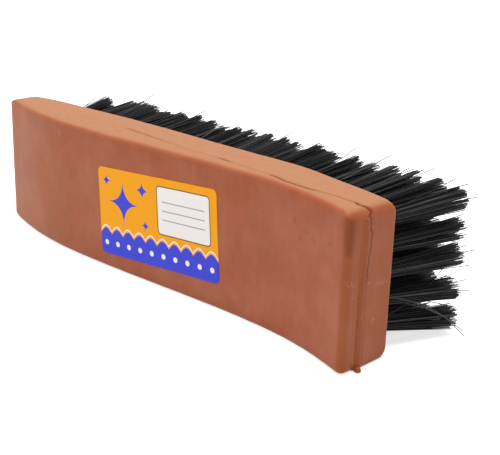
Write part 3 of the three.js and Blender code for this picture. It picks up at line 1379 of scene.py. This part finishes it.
    def scuff_and_highlight_share(self, points: np.ndarray) -> np.ndarray:
        """Works out the paler marks: a level scuffed line over the near end, a painted highlight along the
        stock's near rim, and the flecks.

        Args:
            points: one row per vertex.

        Returns:
            How pale each point is, from 0 to 1.
        """
        x, y, z = points.T
        line = self.scuff_height - self.scuff_slope * (y + self.scuff_depth)
        level = np.exp(-(((z - line) / self.scuff_reach) ** 2))
        from_end = (self.profile.half_length - x) / self.scuff_from_end
        patchy = rough_wave(points, self.scuff_gap_mm)
        broken = np.clip(self.scuff_mean + self.scuff_swing * patchy, 0, 1)
        scrape_and_highlight = level * broken * np.clip(1 - from_end, 0, 1)
        if self.half is Half.STOCK:
            # A painted highlight along the stock's near rim on the bristle side
            from_rim = np.maximum(self.profile.half_length - x, self.profile.face_y(x) - y)
            rim = self.rim_highlight * np.exp(-((from_rim / self.rim_highlight_reach) ** 2))
            scrape_and_highlight = np.maximum(scrape_and_highlight, rim)
        return self.scuff_and_highlight_strength * np.maximum(scrape_and_highlight, self.marked(points, Blemish.FLECK))

    def swelled(self, points: np.ndarray) -> np.ndarray:
        """Works out the ripples, bumps and pits.

        Args:
            points: one row per vertex.

        Returns:
            How far each point moves out along its normal.
        """
        from_seam = np.abs(points[:, 1] - self.profile.seam_y(points[:, 0]))
        swell = mould_ripple(points) * smooth_step(from_seam / self.ripple_run)
        pits = self.marked(points, Blemish.PIT)
        return swell + (self.bump_rise * self.marked(points, Blemish.BUMP) - self.pit_sink * pits)

    def dust_and_sheen_share(self, points: np.ndarray, level: np.ndarray) -> np.ndarray:
        """How dusty each point is, with the painted sheen that the level sides and the palm end take.

        Args:
            points: one row per vertex.
            level: how level the surface is at each, from 0 to 1.

        Returns:
            The share of dusty paling and painted sheen at each, from 0 to 1.
        """
        x, y, _ = points.T
        # The level sides and the palm end get paler: dust with a painted sheen
        dust_and_sheen = smooth_step((level - self.dust_and_sheen_from) / (self.dust_and_sheen_to - self.dust_and_sheen_from))
        if self.half is Half.COVER:
            from_hand = y - self.profile.back_y(x)
            dust_and_sheen *= 1 - self.dust_and_sheen_edge_loss * np.exp(-((from_hand / self.dust_and_sheen_edge_reach) ** 2))
        return np.maximum(dust_and_sheen, self.bloom_and_sheen * smooth_step((self.bloom_and_sheen_from - x) / self.bloom_and_sheen_run))

    def darkened(self, points: np.ndarray) -> np.ndarray:
        """Works out the painted shade in the open seam and on the near end's upper corner.

        Args:
            points: one row per vertex.

        Returns:
            How much painted shade each point takes, from 0 to 1.
        """
        x, y, _ = points.T
        opening = self.opening(x)
        from_seam = np.abs(y - self.profile.seam_y(x))
        # Painted shade in the open seam, deeper and wider where it has opened more
        shade = self.seam_dark * np.clip(opening / self.seam_dark_at, 0, 1)
        dark_shade = shade * np.exp(-((from_seam / (self.seam_reach + self.seam_spread * opening)) ** 2))
        return np.maximum(dark_shade, self.corner_shade_dark * self.marked(points, Blemish.BURN))

    def build(self) -> bpy.types.Object:
        """Makes the half, dresses it and puts it in the node's place.

        Returns:
            The piece.
        """
        loops = self.capped(self.loops())
        rings, around, _ = loops.shape
        flat = self.shaped(loops.reshape(-1, 3))
        faces = closed_faces(rings, around)
        piece = add_mesh(f"{self.half.value}_moulded", flat, faces, self.profile.origin)
        normals = np.empty(len(flat) * 3, np.float32)
        piece.data.vertices.foreach_get("normal", normals)
        normals = normals.reshape(-1, 3)
        moved = flat + normals * self.swelled(flat)[:, None]
        moved[:, 2] = np.maximum(moved[:, 2], 0)
        placed = (moved + np.array(self.profile.origin)) * MM
        piece.data.vertices.foreach_set("co", placed.astype(np.float32).ravel())
        piece.data.update()
        piece.data.set_sharp_from_angle(angle=SMOOTH_UP_TO)
        # The painted corner shade goes into the edge orange here, and into the seam's shade as well
        burnt_shade = self.corner_shade_strength * self.marked(flat, Blemish.BURN)
        add_attribute(piece, "edge", np.maximum(self.edge_share(flat), burnt_shade))
        add_attribute(piece, "dust_and_sheen", self.dust_and_sheen_share(flat, np.abs(normals[:, 2])))
        add_attribute(piece, "seam", self.darkened(flat))
        add_attribute(piece, "scuff_and_highlight", self.scuff_and_highlight_share(flat))
        add_attribute(piece, "pit", self.pit_strength * self.marked(flat, Blemish.PIT))
        piece.data.materials.append(self.finish)
        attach(piece, BODY)
        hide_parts(self.half.value)
        return piece


@dataclass(frozen=True)
class FlashLine:
    """One line along the flash: how far it is past the seam, how high it stands and its colours, which paint
    the ridge's light and shade: the orange shade of its flanks, its crest's highlight, the shadow its lip
    casts, and the groove's shade low down.
    """

    past_seam: float
    out: float
    burnt_shade: float = 0.0
    pale_highlight: float = 0.0
    dark_shade: float = 0.0
    low_shade: float = 0.0


# Across the flash: painted shade on its flanks, a painted highlight on its crest, the painted shadow its lip
# casts on the stock, and painted shade in the groove at its foot low down
FLASH_LINES = (
    FlashLine(-2.5, -0.4),
    FlashLine(-2.1, 0.08, burnt_shade=0.5, low_shade=0.3),
    FlashLine(-1.7, 0.18, burnt_shade=0.9, low_shade=0.6),
    FlashLine(-1.2, 0.32, burnt_shade=1.1),
    FlashLine(-0.7, 0.6, burnt_shade=1.0),
    FlashLine(-0.35, 0.9, burnt_shade=0.5, pale_highlight=0.04),
    FlashLine(0.0, 1.0, burnt_shade=0.2, pale_highlight=0.06),
    FlashLine(0.2, 0.8, burnt_shade=0.6),
    FlashLine(0.3, 0.25, burnt_shade=0.9, dark_shade=0.9),
    FlashLine(0.8, 0.2, burnt_shade=0.9, dark_shade=1.0),
    FlashLine(1.3, 0.2, burnt_shade=0.7, dark_shade=1.0),
    FlashLine(1.7, 0.2, burnt_shade=0.5, dark_shade=0.4),
    FlashLine(2.0, 0.18, burnt_shade=0.3),
    FlashLine(2.4, -0.4),
)


@dataclass
class SeamFlash:
    """The ragged lip of flash that stands along the seam on the near end, with a bead at its foot. Its
    colours paint the ridge's shade, its crest's highlight and the shadow that its lip casts.
    """

    profile: BlockProfile
    finish: bpy.types.Material
    steps: int = 220
    foot: float = 0.4
    head: float = 2.6
    height: float = 0.7
    least_height: float = 0.12
    high_swing: tuple[float, float] = (0.5, 0.3)
    sway: tuple[float, float] = (0.5, 0.3)
    dark_swing: float = 1.2
    dark_foot: float = 0.2
    ragged_mm: float = 3.4
    fine_mm: float = 1.1
    noise_shift: float = 9.0
    bulge_z: float = 40.0
    bulge_half: float = 4.0
    bulge: float = 1.0
    lip_run: float = 1.2
    low_from: float = 32.0
    low_run: float = 8.0
    bead: tuple[float, float, float] = (95.8, -22.5, 0.9)
    bead_radii: tuple[float, float, float] = (1.4, 1.0, 1.0)
    bead_lump: float = 0.15
    bead_lump_mm: float = 1.0
    bead_rings: int = 12
    bead_sides: int = 16

    def end_x(self, z: np.ndarray) -> np.ndarray:
        """Follows the near end round its upper and lower edges.

        Args:
            z: heights.

        Returns:
            X of the end at each height.
        """
        rounds = ROUNDS[Half.STOCK]
        top = quarter_round(self.profile.width - z, rounds.near_top, rounds.near_top)
        foot = quarter_round(z, rounds.near_foot, rounds.near_foot)
        return self.profile.half_length - top - foot

    def bead_points(self) -> np.ndarray:
        """Shapes the bead, a lumpy ball.

        Returns:
            One row per point, ring by ring from its inner pole.
        """
        tilt = np.linspace(0, math.pi, self.bead_rings)[:, None]
        turn = np.linspace(0, 2 * math.pi, self.bead_sides, endpoint=False)[None, :]
        flat = 0 * turn
        axes = [-np.cos(tilt) + flat, np.sin(tilt) * np.cos(turn), np.sin(tilt) * np.sin(turn)]
        ball = np.stack(axes, -1).reshape(-1, 3)
        lumps = 1 + self.bead_lump * rough_wave(ball + self.noise_shift, self.bead_lump_mm)
        points = np.array(self.bead) + np.array(self.bead_radii) * lumps[:, None] * ball
        points[:, 2] = np.maximum(points[:, 2], 0)
        return points

    def build(self) -> bpy.types.Object:
        """Makes the flash and dresses it.

        Returns:
            The piece.
        """
        z = np.linspace(self.foot, self.profile.width - self.head, self.steps)
        still = np.zeros_like(z)
        coarse = rough_wave(np.stack([still, still, z], -1), self.ragged_mm)
        fine = rough_wave(np.stack([still + self.noise_shift, still, z], -1), self.fine_mm)
        bulge = self.bulge * np.exp(-(((z - self.bulge_z) / self.bulge_half) ** 2))
        high = self.height * (1 + self.high_swing[0] * coarse + self.high_swing[1] * fine)
        high = np.maximum(high, self.least_height)[:, None]
        shift = (self.sway[0] * coarse + self.sway[1] * fine + bulge)[:, None]
        past, out, burnt_shade, pale_highlight, dark_shade, low_shade = (
            np.array([getattr(line, field) for line in FLASH_LINES])[None, :]
            for field in FlashLine.__dataclass_fields__
        )
        lip = smooth_step((past + self.lip_run) / self.lip_run)
        seam = self.profile.seam_y(np.array([self.profile.half_length]))[0]
        y = seam + past + shift * lip
        x = self.end_x(z)[:, None] + np.where(out > 0, out * high, out)
        ridge = np.stack([x, y, z[:, None] + 0 * y], -1).reshape(-1, 3)
        around, bead = len(FLASH_LINES), self.bead_points()
        faces = closed_faces(self.steps, around)
        faces += closed_faces(self.bead_rings, self.bead_sides, len(ridge))
        piece = add_mesh("seam_flash", np.concatenate([ridge, bead]), faces, self.profile.origin)
        # The painted shadow beside the lip is strongest up high, and the groove's painted shade shows low
        # down
        low = smooth_step((self.low_from - z) / self.low_run)[:, None]
        swing = 1 + self.dark_swing * coarse[:, None]
        fade = self.dark_foot + (1 - self.dark_foot) * (1 - low)
        shade = np.clip(swing * (dark_shade * fade + low_shade * low), 0, 1)
        plain = np.ones(len(bead))
        for name, ridge_values, bead_value in (
            ("edge", burnt_shade + 0 * shade, 1.0),
            ("scuff_and_highlight", pale_highlight * (1 - low), 0.0),
            ("seam", shade, 0.0),
        ):
            add_attribute(piece, name, np.concatenate([ridge_values.ravel(), bead_value * plain]))
        piece.data.materials.append(self.finish)
        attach(piece, BODY)
        return piece


@dataclass
class PaperLabel:
    """The label: a thin sheet that follows the hand side, stuck on a little crooked."""

    profile: BlockProfile
    finish: bpy.types.Material
    length: float = LABEL_LENGTH
    height: float = LABEL_HEIGHT
    corner: float = 2.0
    thickness: float = 0.2
    past_middle: float = 4.8
    below_middle: float = 1.5
    tilt_deg: float = 3.6
    sink: float = 0.1
    columns: int = 110
    rows: int = 44
    corner_rows: int = 8

    def outline(self) -> tuple[np.ndarray, np.ndarray]:
        """Lays the sheet's points out in rows, from its middle.

        Returns:
            How far each point is along the label, and how far up.
        """
        straight = self.height / 2 - self.corner
        swing = np.linspace(math.pi / 2, 0, self.corner_rows, endpoint=False)
        upper = straight + self.corner * np.sin(swing)[::-1]
        v = np.concatenate([-upper[::-1], np.linspace(-straight, straight, self.rows), upper])
        over = np.clip(np.abs(v) - straight, 0, self.corner)
        half = self.length / 2 - self.corner + np.sqrt(self.corner**2 - over**2)
        u = half[:, None] * np.linspace(-1, 1, self.columns)[None, :]
        return u, v[:, None] + 0 * u

    def build(self) -> bpy.types.Object:
        """Makes the label, dresses it and puts it in the node's place.

        Returns:
            The piece.
        """
        u, v = self.outline()
        tilt = math.radians(self.tilt_deg)
        x = self.past_middle + u * math.cos(tilt) - v * math.sin(tilt)
        z = self.profile.width / 2 - self.below_middle + u * math.sin(tilt) + v * math.cos(tilt)
        under = np.stack([x, self.profile.back_y(x), z], -1)
        swell = mould_ripple(under.reshape(-1, 3)).reshape(x.shape)
        front = under - np.stack([0 * x, self.thickness + swell, 0 * x], -1)
        rear = under - np.stack([0 * x, swell - self.sink, 0 * x], -1)
        rows, columns = x.shape
        count = rows * columns
        sheet = grid_faces(rows, columns)
        edge = self.rim_numbers(rows, columns)
        after = np.roll(edge, -1)
        walls = np.stack([edge, edge + count, after + count, after], -1)
        faces = sheet.tolist() + (sheet[:, ::-1] + count).tolist() + walls.tolist()
        points = np.concatenate([front, rear]).reshape(-1, 3)
        piece = add_mesh("label_printed", points, faces, self.profile.origin)
        piece.data.set_sharp_from_angle(angle=SMOOTH_UP_TO)
        places = np.stack([u / self.length + 0.5, v / self.height + 0.5], -1).reshape(-1, 2)
        self.add_print_map(piece, np.concatenate([places, places]))
        piece.data.materials.append(self.finish)
        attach(piece, BODY)
        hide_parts("label")
        return piece

    @staticmethod
    def rim_numbers(rows: int, columns: int) -> np.ndarray:
        """Numbers the points round the sheet.

        Args:
            rows: rows of points.
            columns: points in a row.

        Returns:
            Vertex numbers, anticlockwise from the first corner.
        """
        first = np.arange(columns)
        right = np.arange(1, rows) * columns + columns - 1
        last = np.arange(columns - 2, -1, -1) + (rows - 1) * columns
        left = np.arange(rows - 2, 0, -1) * columns
        return np.concatenate([first, right, last, left])

    @staticmethod
    def add_print_map(piece: bpy.types.Object, places: np.ndarray) -> None:
        """Stores where each vertex lies on the print.

        Args:
            piece: the label.
            places: shares of the way along and up the label, one row per vertex.
        """
        layer = piece.data.uv_layers.new(name=PRINT_MAP)
        corners = np.empty(len(piece.data.loops), np.int32)
        piece.data.loops.foreach_get("vertex_index", corners)
        layer.data.foreach_set("uv", places[corners].astype(np.float32).ravel())


@dataclass(frozen=True)
class Stray:
    """A filament that has sprung out of its tuft: the tuft, where it bends and where it ends."""

    column: int
    row: int
    bend: tuple[float, float, float]
    tip: tuple[float, float, float]


STRAYS = (
    Stray(21, 4, (91.5, 12.0, 43.6), (97.4, 31.0, 44.4)),
    Stray(20, 4, (86.0, 14.0, 45.0), (93.1, 31.5, 47.6)),
    Stray(17, 4, (60.5, 14.0, 46.5), (59.5, 35.0, 49.7)),
    Stray(16, 4, (48.0, 16.0, 46.0), (45.2, 33.5, 49.6)),
    Stray(21, 3, (92.0, 10.0, 35.0), (96.0, 23.2, 30.8)),
    Stray(21, 3, (92.5, 12.0, 37.0), (96.0, 25.5, 39.4)),
    Stray(21, 2, (92.5, 12.0, 26.0), (95.8, 30.0, 28.2)),
    Stray(21, 2, (93.0, 14.0, 22.5), (97.0, 30.0, 23.0)),
    Stray(21, 1, (93.0, 14.0, 16.0), (97.4, 31.5, 12.3)),
    Stray(21, 1, (93.0, 13.0, 17.0), (97.1, 29.5, 16.6)),
    Stray(21, 1, (94.0, 12.0, 15.0), (97.0, 25.6, 7.0)),
    Stray(21, 1, (97.0, 8.5, 18.5), (102.8, 22.7, 0.6)),
    Stray(21, 1, (97.0, 12.0, 14.0), (101.1, 24.5, 1.2)),
    Stray(21, 0, (93.5, 10.0, 12.5), (95.0, 19.9, 23.1)),
    Stray(20, 0, (88.0, 12.0, 11.5), (95.5, 21.0, 20.0)),
    Stray(19, 4, (74.0, 14.0, 45.5), (79.0, 33.0, 49.5)),
    Stray(12, 4, (17.0, 15.0, 45.5), (14.5, 33.5, 49.8)),
    Stray(6, 4, (-30.0, 14.0, 45.5), (-34.0, 33.0, 49.0)),
    Stray(0, 2, (-85.0, 10.0, 26.0), (-92.0, 24.0, 22.0)),
    Stray(0, 4, (-84.0, 8.0, 44.0), (-91.0, 22.0, 47.0)),
)


@dataclass
class BristleBank:
    """A bank of tufts: bundles of fine filaments that lean out towards the ends and sides."""

    profile: BlockProfile
    tufts: TuftField
    bank: int
    finish: bpy.types.Material
    filaments: int = 150
    rings: int = 5
    sides: int = 3
    radius: float = 0.17
    length: float = 30.6
    set_depth: float = 2.0
    root_spread: float = 2.2
    tip_spread: float = 3.8
    end_splay: float = 9.0
    palm_splay: float = 2.5
    side_splay: float = 2.8
    palm_trim: float = 4.0
    palm_trim_power: float = 30.0
    # X, and how much shorter the tufts are there
    middle_trim: tuple[tuple[float, float], ...] = (
        (-78, 0.0), (-70, -2.5), (-63, 0.8), (-52, 1.7), (0, 2.0), (24, 2.6), (42, 0.0),
    )
    ragged: float = 0.3
    tuft_ragged: float = 1.2
    tuft_lean: float = 0.7
    tuft_slant: float = 0.08
    wander: float = 0.14
    bow: float = 0.25
    stray_share: float = 0.008
    stray_reach: float = 2.6
    floor: float = 0.3
    pale_power: float = 5.0
    stray_highlight: float = 0.8
    seed: int = 11

    def centrelines(self, random: np.random.Generator) -> np.ndarray:
        """Works out the line of each filament.

        Args:
            random: the source of scatter.

        Returns:
            X, Y and Z of each ring's middle on each filament.
        """
        columns = np.array(self.tufts.bank_columns(self.bank))
        column, row = (part.ravel() for part in np.meshgrid(columns, np.arange(self.tufts.rows)))
        tuft_x, tuft_z = self.tufts.x_of(column), self.tufts.z_of(row, self.profile.width)
        face = self.profile.face_y(tuft_x)
        count = len(tuft_x)
        shape = (count, self.filaments)
        along = self.tufts.along(column)
        splay = np.where(along < 0, self.palm_splay, self.end_splay)
        lean_x = splay * along**3 + self.tuft_lean * random.normal(size=count)
        lean_z = self.side_splay * self.tufts.across(row) + self.tuft_lean * random.normal(size=count)
        trim = self.palm_trim * np.clip(-along, 0, 1) ** self.palm_trim_power
        trim += np.interp(tuft_x, *zip(*self.middle_trim))
        reach = self.length - trim - self.tuft_ragged * np.abs(random.normal(size=count))
        slant = self.tuft_slant * random.normal(size=(2, count, 1))
        far = np.sqrt(random.uniform(size=shape))
        turn = random.uniform(0, 2 * math.pi, size=shape)
        out_x, out_z = far * np.cos(turn), far * np.sin(turn)
        stray = np.where(random.uniform(size=shape) < self.stray_share, self.stray_reach, self.wander)
        root_x = tuft_x[:, None] + self.root_spread * out_x
        root_z = tuft_z[:, None] + self.root_spread * out_z
        root_y = face[:, None] - self.set_depth + 0 * far
        tip_x = (tuft_x + lean_x)[:, None] + self.tip_spread * out_x + stray * random.normal(size=shape)
        tip_z = (tuft_z + lean_z)[:, None] + self.tip_spread * out_z + stray * random.normal(size=shape)
        slope_x = slant[0] - (lean_x / reach)[:, None]
        slope_z = slant[1] - (lean_z / reach)[:, None]
        cut = self.tip_spread * (slope_x * out_x + slope_z * out_z)
        short = self.ragged * np.abs(random.normal(size=shape))
        tip_y = (self.profile.bow_y(tuft_x) + reach)[:, None] + cut - short
        root, tip = np.stack([root_x, root_y, root_z], -1), np.stack([tip_x, tip_y, tip_z], -1)
        bend = (root + tip) / 2 + self.bow * random.normal(size=(*shape, 3))
        loose = self.loose_lines(columns)
        both = [np.concatenate([a.reshape(-1, 3), b]) for a, b in zip((root, bend, tip), loose)]
        start, middle, stop = (part[:, None] for part in both)
        step = np.linspace(0, 1, self.rings)[None, :, None]
        line = start * (1 - step) ** 2 + middle * 2 * step * (1 - step) + stop * step**2
        line[..., 2] = np.maximum(line[..., 2], self.floor)
        return line

    def loose_lines(self, columns: np.ndarray) -> list[np.ndarray]:
        """Picks the strays whose tufts stand in the bank.

        Args:
            columns: the bank's columns of tufts.

        Returns:
            Roots, bends and tips, one row per stray.
        """
        here = [stray for stray in STRAYS if stray.column in columns]
        x = self.tufts.x_of(np.array([stray.column for stray in here], float))
        z = self.tufts.z_of(np.array([stray.row for stray in here], float), self.profile.width)
        root = np.stack([x, self.profile.face_y(x) - self.set_depth, z], -1).reshape(-1, 3)
        bend = np.array([stray.bend for stray in here], float).reshape(-1, 3)
        tip = np.array([stray.tip for stray in here], float).reshape(-1, 3)
        return [root, bend, tip]

    def build(self) -> bpy.types.Object:
        """Makes the bank, dresses it and puts it in the node's place.

        Returns:
            The piece.
        """
        random = np.random.default_rng(self.seed + self.bank)
        line = self.centrelines(random)
        count = len(line)
        forward = line[:, -1] - line[:, 0]
        forward /= np.linalg.norm(forward, axis=1, keepdims=True)
        side = np.cross(forward, [1.0, 0.0, 0.0])
        side /= np.linalg.norm(side, axis=1, keepdims=True)
        other = np.cross(forward, side)
        turn = random.uniform(0, 2 * math.pi, size=(count, 1))
        angle = turn + np.arange(self.sides) * 2 * math.pi / self.sides
        around = np.cos(angle)[..., None] * side[:, None] + np.sin(angle)[..., None] * other[:, None]
        points = line[:, :, None] + self.radius * around[:, None]
        points[..., 2] = np.maximum(points[..., 2], 0)
        one = grid_faces(self.rings, self.sides, closed=True)
        each = np.arange(count)[:, None, None] * self.rings * self.sides
        quads = (one[None] + each).reshape(-1, 4)
        tip = np.arange(self.sides) + (self.rings - 1) * self.sides
        tips = tip[None] + each[:, 0]
        name = f"bristle_bank_{self.bank + 1}"
        faces = quads.tolist() + tips.tolist()
        piece = add_mesh(f"{name}_filaments", points.reshape(-1, 3), faces, self.profile.origin)
        # Random tone, with a few filaments painted grey as a painted highlight; the strays are painted paler
        # still
        tone = random.uniform(size=count) ** self.pale_power
        loose = count % self.filaments
        tone[count - loose :] = self.stray_highlight
        add_attribute(piece, "tone", np.repeat(tone, self.rings * self.sides))
        self.add_bake_map(piece, count)
        piece.data.materials.append(self.finish)
        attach(piece, BODY)
        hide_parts(name)
        return piece

    def add_bake_map(self, piece: bpy.types.Object, count: int) -> None:
        """Gives each filament a cell of its own on the piece's map.

        Args:
            piece: the bank.
            count: its filaments.
        """
        cells = math.ceil(math.sqrt(count))
        origin = np.stack([np.arange(count) % cells, np.arange(count) // cells], -1)
        segment, side = np.divmod(np.arange((self.rings - 1) * self.sides), self.sides)
        low = np.stack([side, segment], -1)
        local = (low[:, None] + np.array(QUAD_CORNERS)[None]) / [self.sides, self.rings]
        quads = origin[:, None, None] + local[None]
        tips = origin[:, None] + np.array(TIP_CORNERS)[None]
        places = np.concatenate([quads.reshape(-1, 2), tips.reshape(-1, 2)]) / cells
        layer = piece.data.uv_layers.new(name=BAKE_MAP)
        layer.data.foreach_set("uv", places.astype(np.float32).ravel())


@dataclass(frozen=True)
class SoftBox:
    """A lamp that faces the brush: its middle, its width and height, and its power."""

    name: str
    place: tuple[float, float, float]
    size: tuple[float, float]
    watts: float


SOFT_BOXES = (
    SoftBox("overhead", (20, -20, 900), (900, 700), 9.5),
    SoftBox("left_fill", (-320, -880, 420), (600, 600), 1.4),
    SoftBox("right_fill", (800, -300, 170), (600, 300), 0.5),
)


@dataclass
class Studio:
    """Floor, light and camera. The camera is fitted to the photograph's edges."""

    profile: BlockProfile
    eye: tuple[float, float, float] = (264.68, -238.62, 136.1)
    aim: tuple[float, float, float] = (17.19, 9.72, 17.88)
    roll_deg: float = 1.736
    lens: float = 73.27
    sensor: float = 36.0
    near_clip: float = 0.01
    far_clip: float = 50.0
    floor_half: float = 4000.0
    ambient: float = 0.4
    white: str = "#FFFFFF"

    def camera(self) -> None:
        """Adds the camera at the photograph's viewing angle."""
        data = bpy.data.cameras.new("camera")
        data.lens = self.lens
        data.sensor_width = self.sensor
        data.clip_start, data.clip_end = self.near_clip, self.far_clip
        origin = Vector(self.profile.origin)
        eye, aim = Vector(self.eye) + origin, Vector(self.aim) + origin
        turn = (aim - eye).to_track_quat("-Z", "Y").to_matrix().to_4x4()
        roll = Matrix.Rotation(math.radians(self.roll_deg), 4, "Z")
        camera = bpy.data.objects.new("camera", data)
        camera.matrix_world = Matrix.Translation(eye * MM) @ turn @ roll
        bpy.context.scene.collection.objects.link(camera)
        bpy.context.scene.camera = camera

    def floor(self) -> None:
        """Adds the white floor."""
        reach = self.floor_half
        corners = np.array([[-reach, -reach, 0], [reach, -reach, 0], [reach, reach, 0], [-reach, reach, 0]])
        floor = add_mesh("floor", corners, [[0, 1, 2, 3]])
        floor.data.materials.append(StudioFloor().make())

    def world(self) -> None:
        """Lights the scene softly from all round, on a white background."""
        world = bpy.data.worlds.new("studio")
        world.use_nodes = True
        tree = world.node_tree
        tree.nodes.clear()
        white = linear(self.white)
        light = add_node(tree, "ShaderNodeBackground", inputs={"Color": white, "Strength": self.ambient})
        backdrop = add_node(tree, "ShaderNodeBackground", inputs={"Color": white, "Strength": 1.0})
        both = add_node(
            tree,
            "ShaderNodeMixShader",
            inputs={0: seen_rays(tree), 1: light.outputs[0], 2: backdrop.outputs[0]},
        )
        add_node(tree, "ShaderNodeOutputWorld", inputs={"Surface": both.outputs[0]})
        bpy.context.scene.world = world

    def lamp(self, box: SoftBox) -> None:
        """Adds one soft box.

        Args:
            box: what it is and where it stands.
        """
        data = bpy.data.lights.new(box.name, "AREA")
        data.shape = "RECTANGLE"
        data.size, data.size_y = (side * MM for side in box.size)
        data.energy = box.watts
        lamp = bpy.data.objects.new(box.name, data)
        middle, place = Vector((0, 0, self.profile.width / 2)), Vector(box.place)
        turn = (middle - place).to_track_quat("-Z", "Y").to_matrix().to_4x4()
        lamp.matrix_world = Matrix.Translation(place * MM) @ turn
        bpy.context.scene.collection.objects.link(lamp)

    def build(self) -> None:
        """Adds everything round the brush."""
        self.camera()
        self.floor()
        self.world()
        for box in SOFT_BOXES:
            self.lamp(box)
        bpy.context.scene.view_settings.view_transform = "Standard"


def main() -> None:
    """Builds the brush in order and reports each piece."""
    logging.basicConfig(level=logging.INFO, format="%(message)s")
    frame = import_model()
    profile = BlockProfile.from_frame()
    tufts = TuftField()
    Studio(profile).build()
    moulded = MouldedWoodPlastic().make()
    pieces = [MouldedHalf(profile, tufts, half, moulded).build() for half in Half]
    pieces.append(SeamFlash(profile, moulded).build())
    pieces.append(PaperLabel(profile, PrintedPaper().make()).build())
    filament = DrawnFilament().make()
    for bank in range(tufts.banks):
        pieces.append(BristleBank(profile, tufts, bank, filament).build())
    steel = DrawnSteel().make()
    for name, node in frame["nodes"].items():
        if name.startswith("draw_wire"):
            node.data.materials.clear()
            node.data.materials.append(steel)
    for piece in pieces:
        LOG.info("%s: %d faces", piece.name, len(piece.data.polygons))


if __name__ == "__main__":
    main()
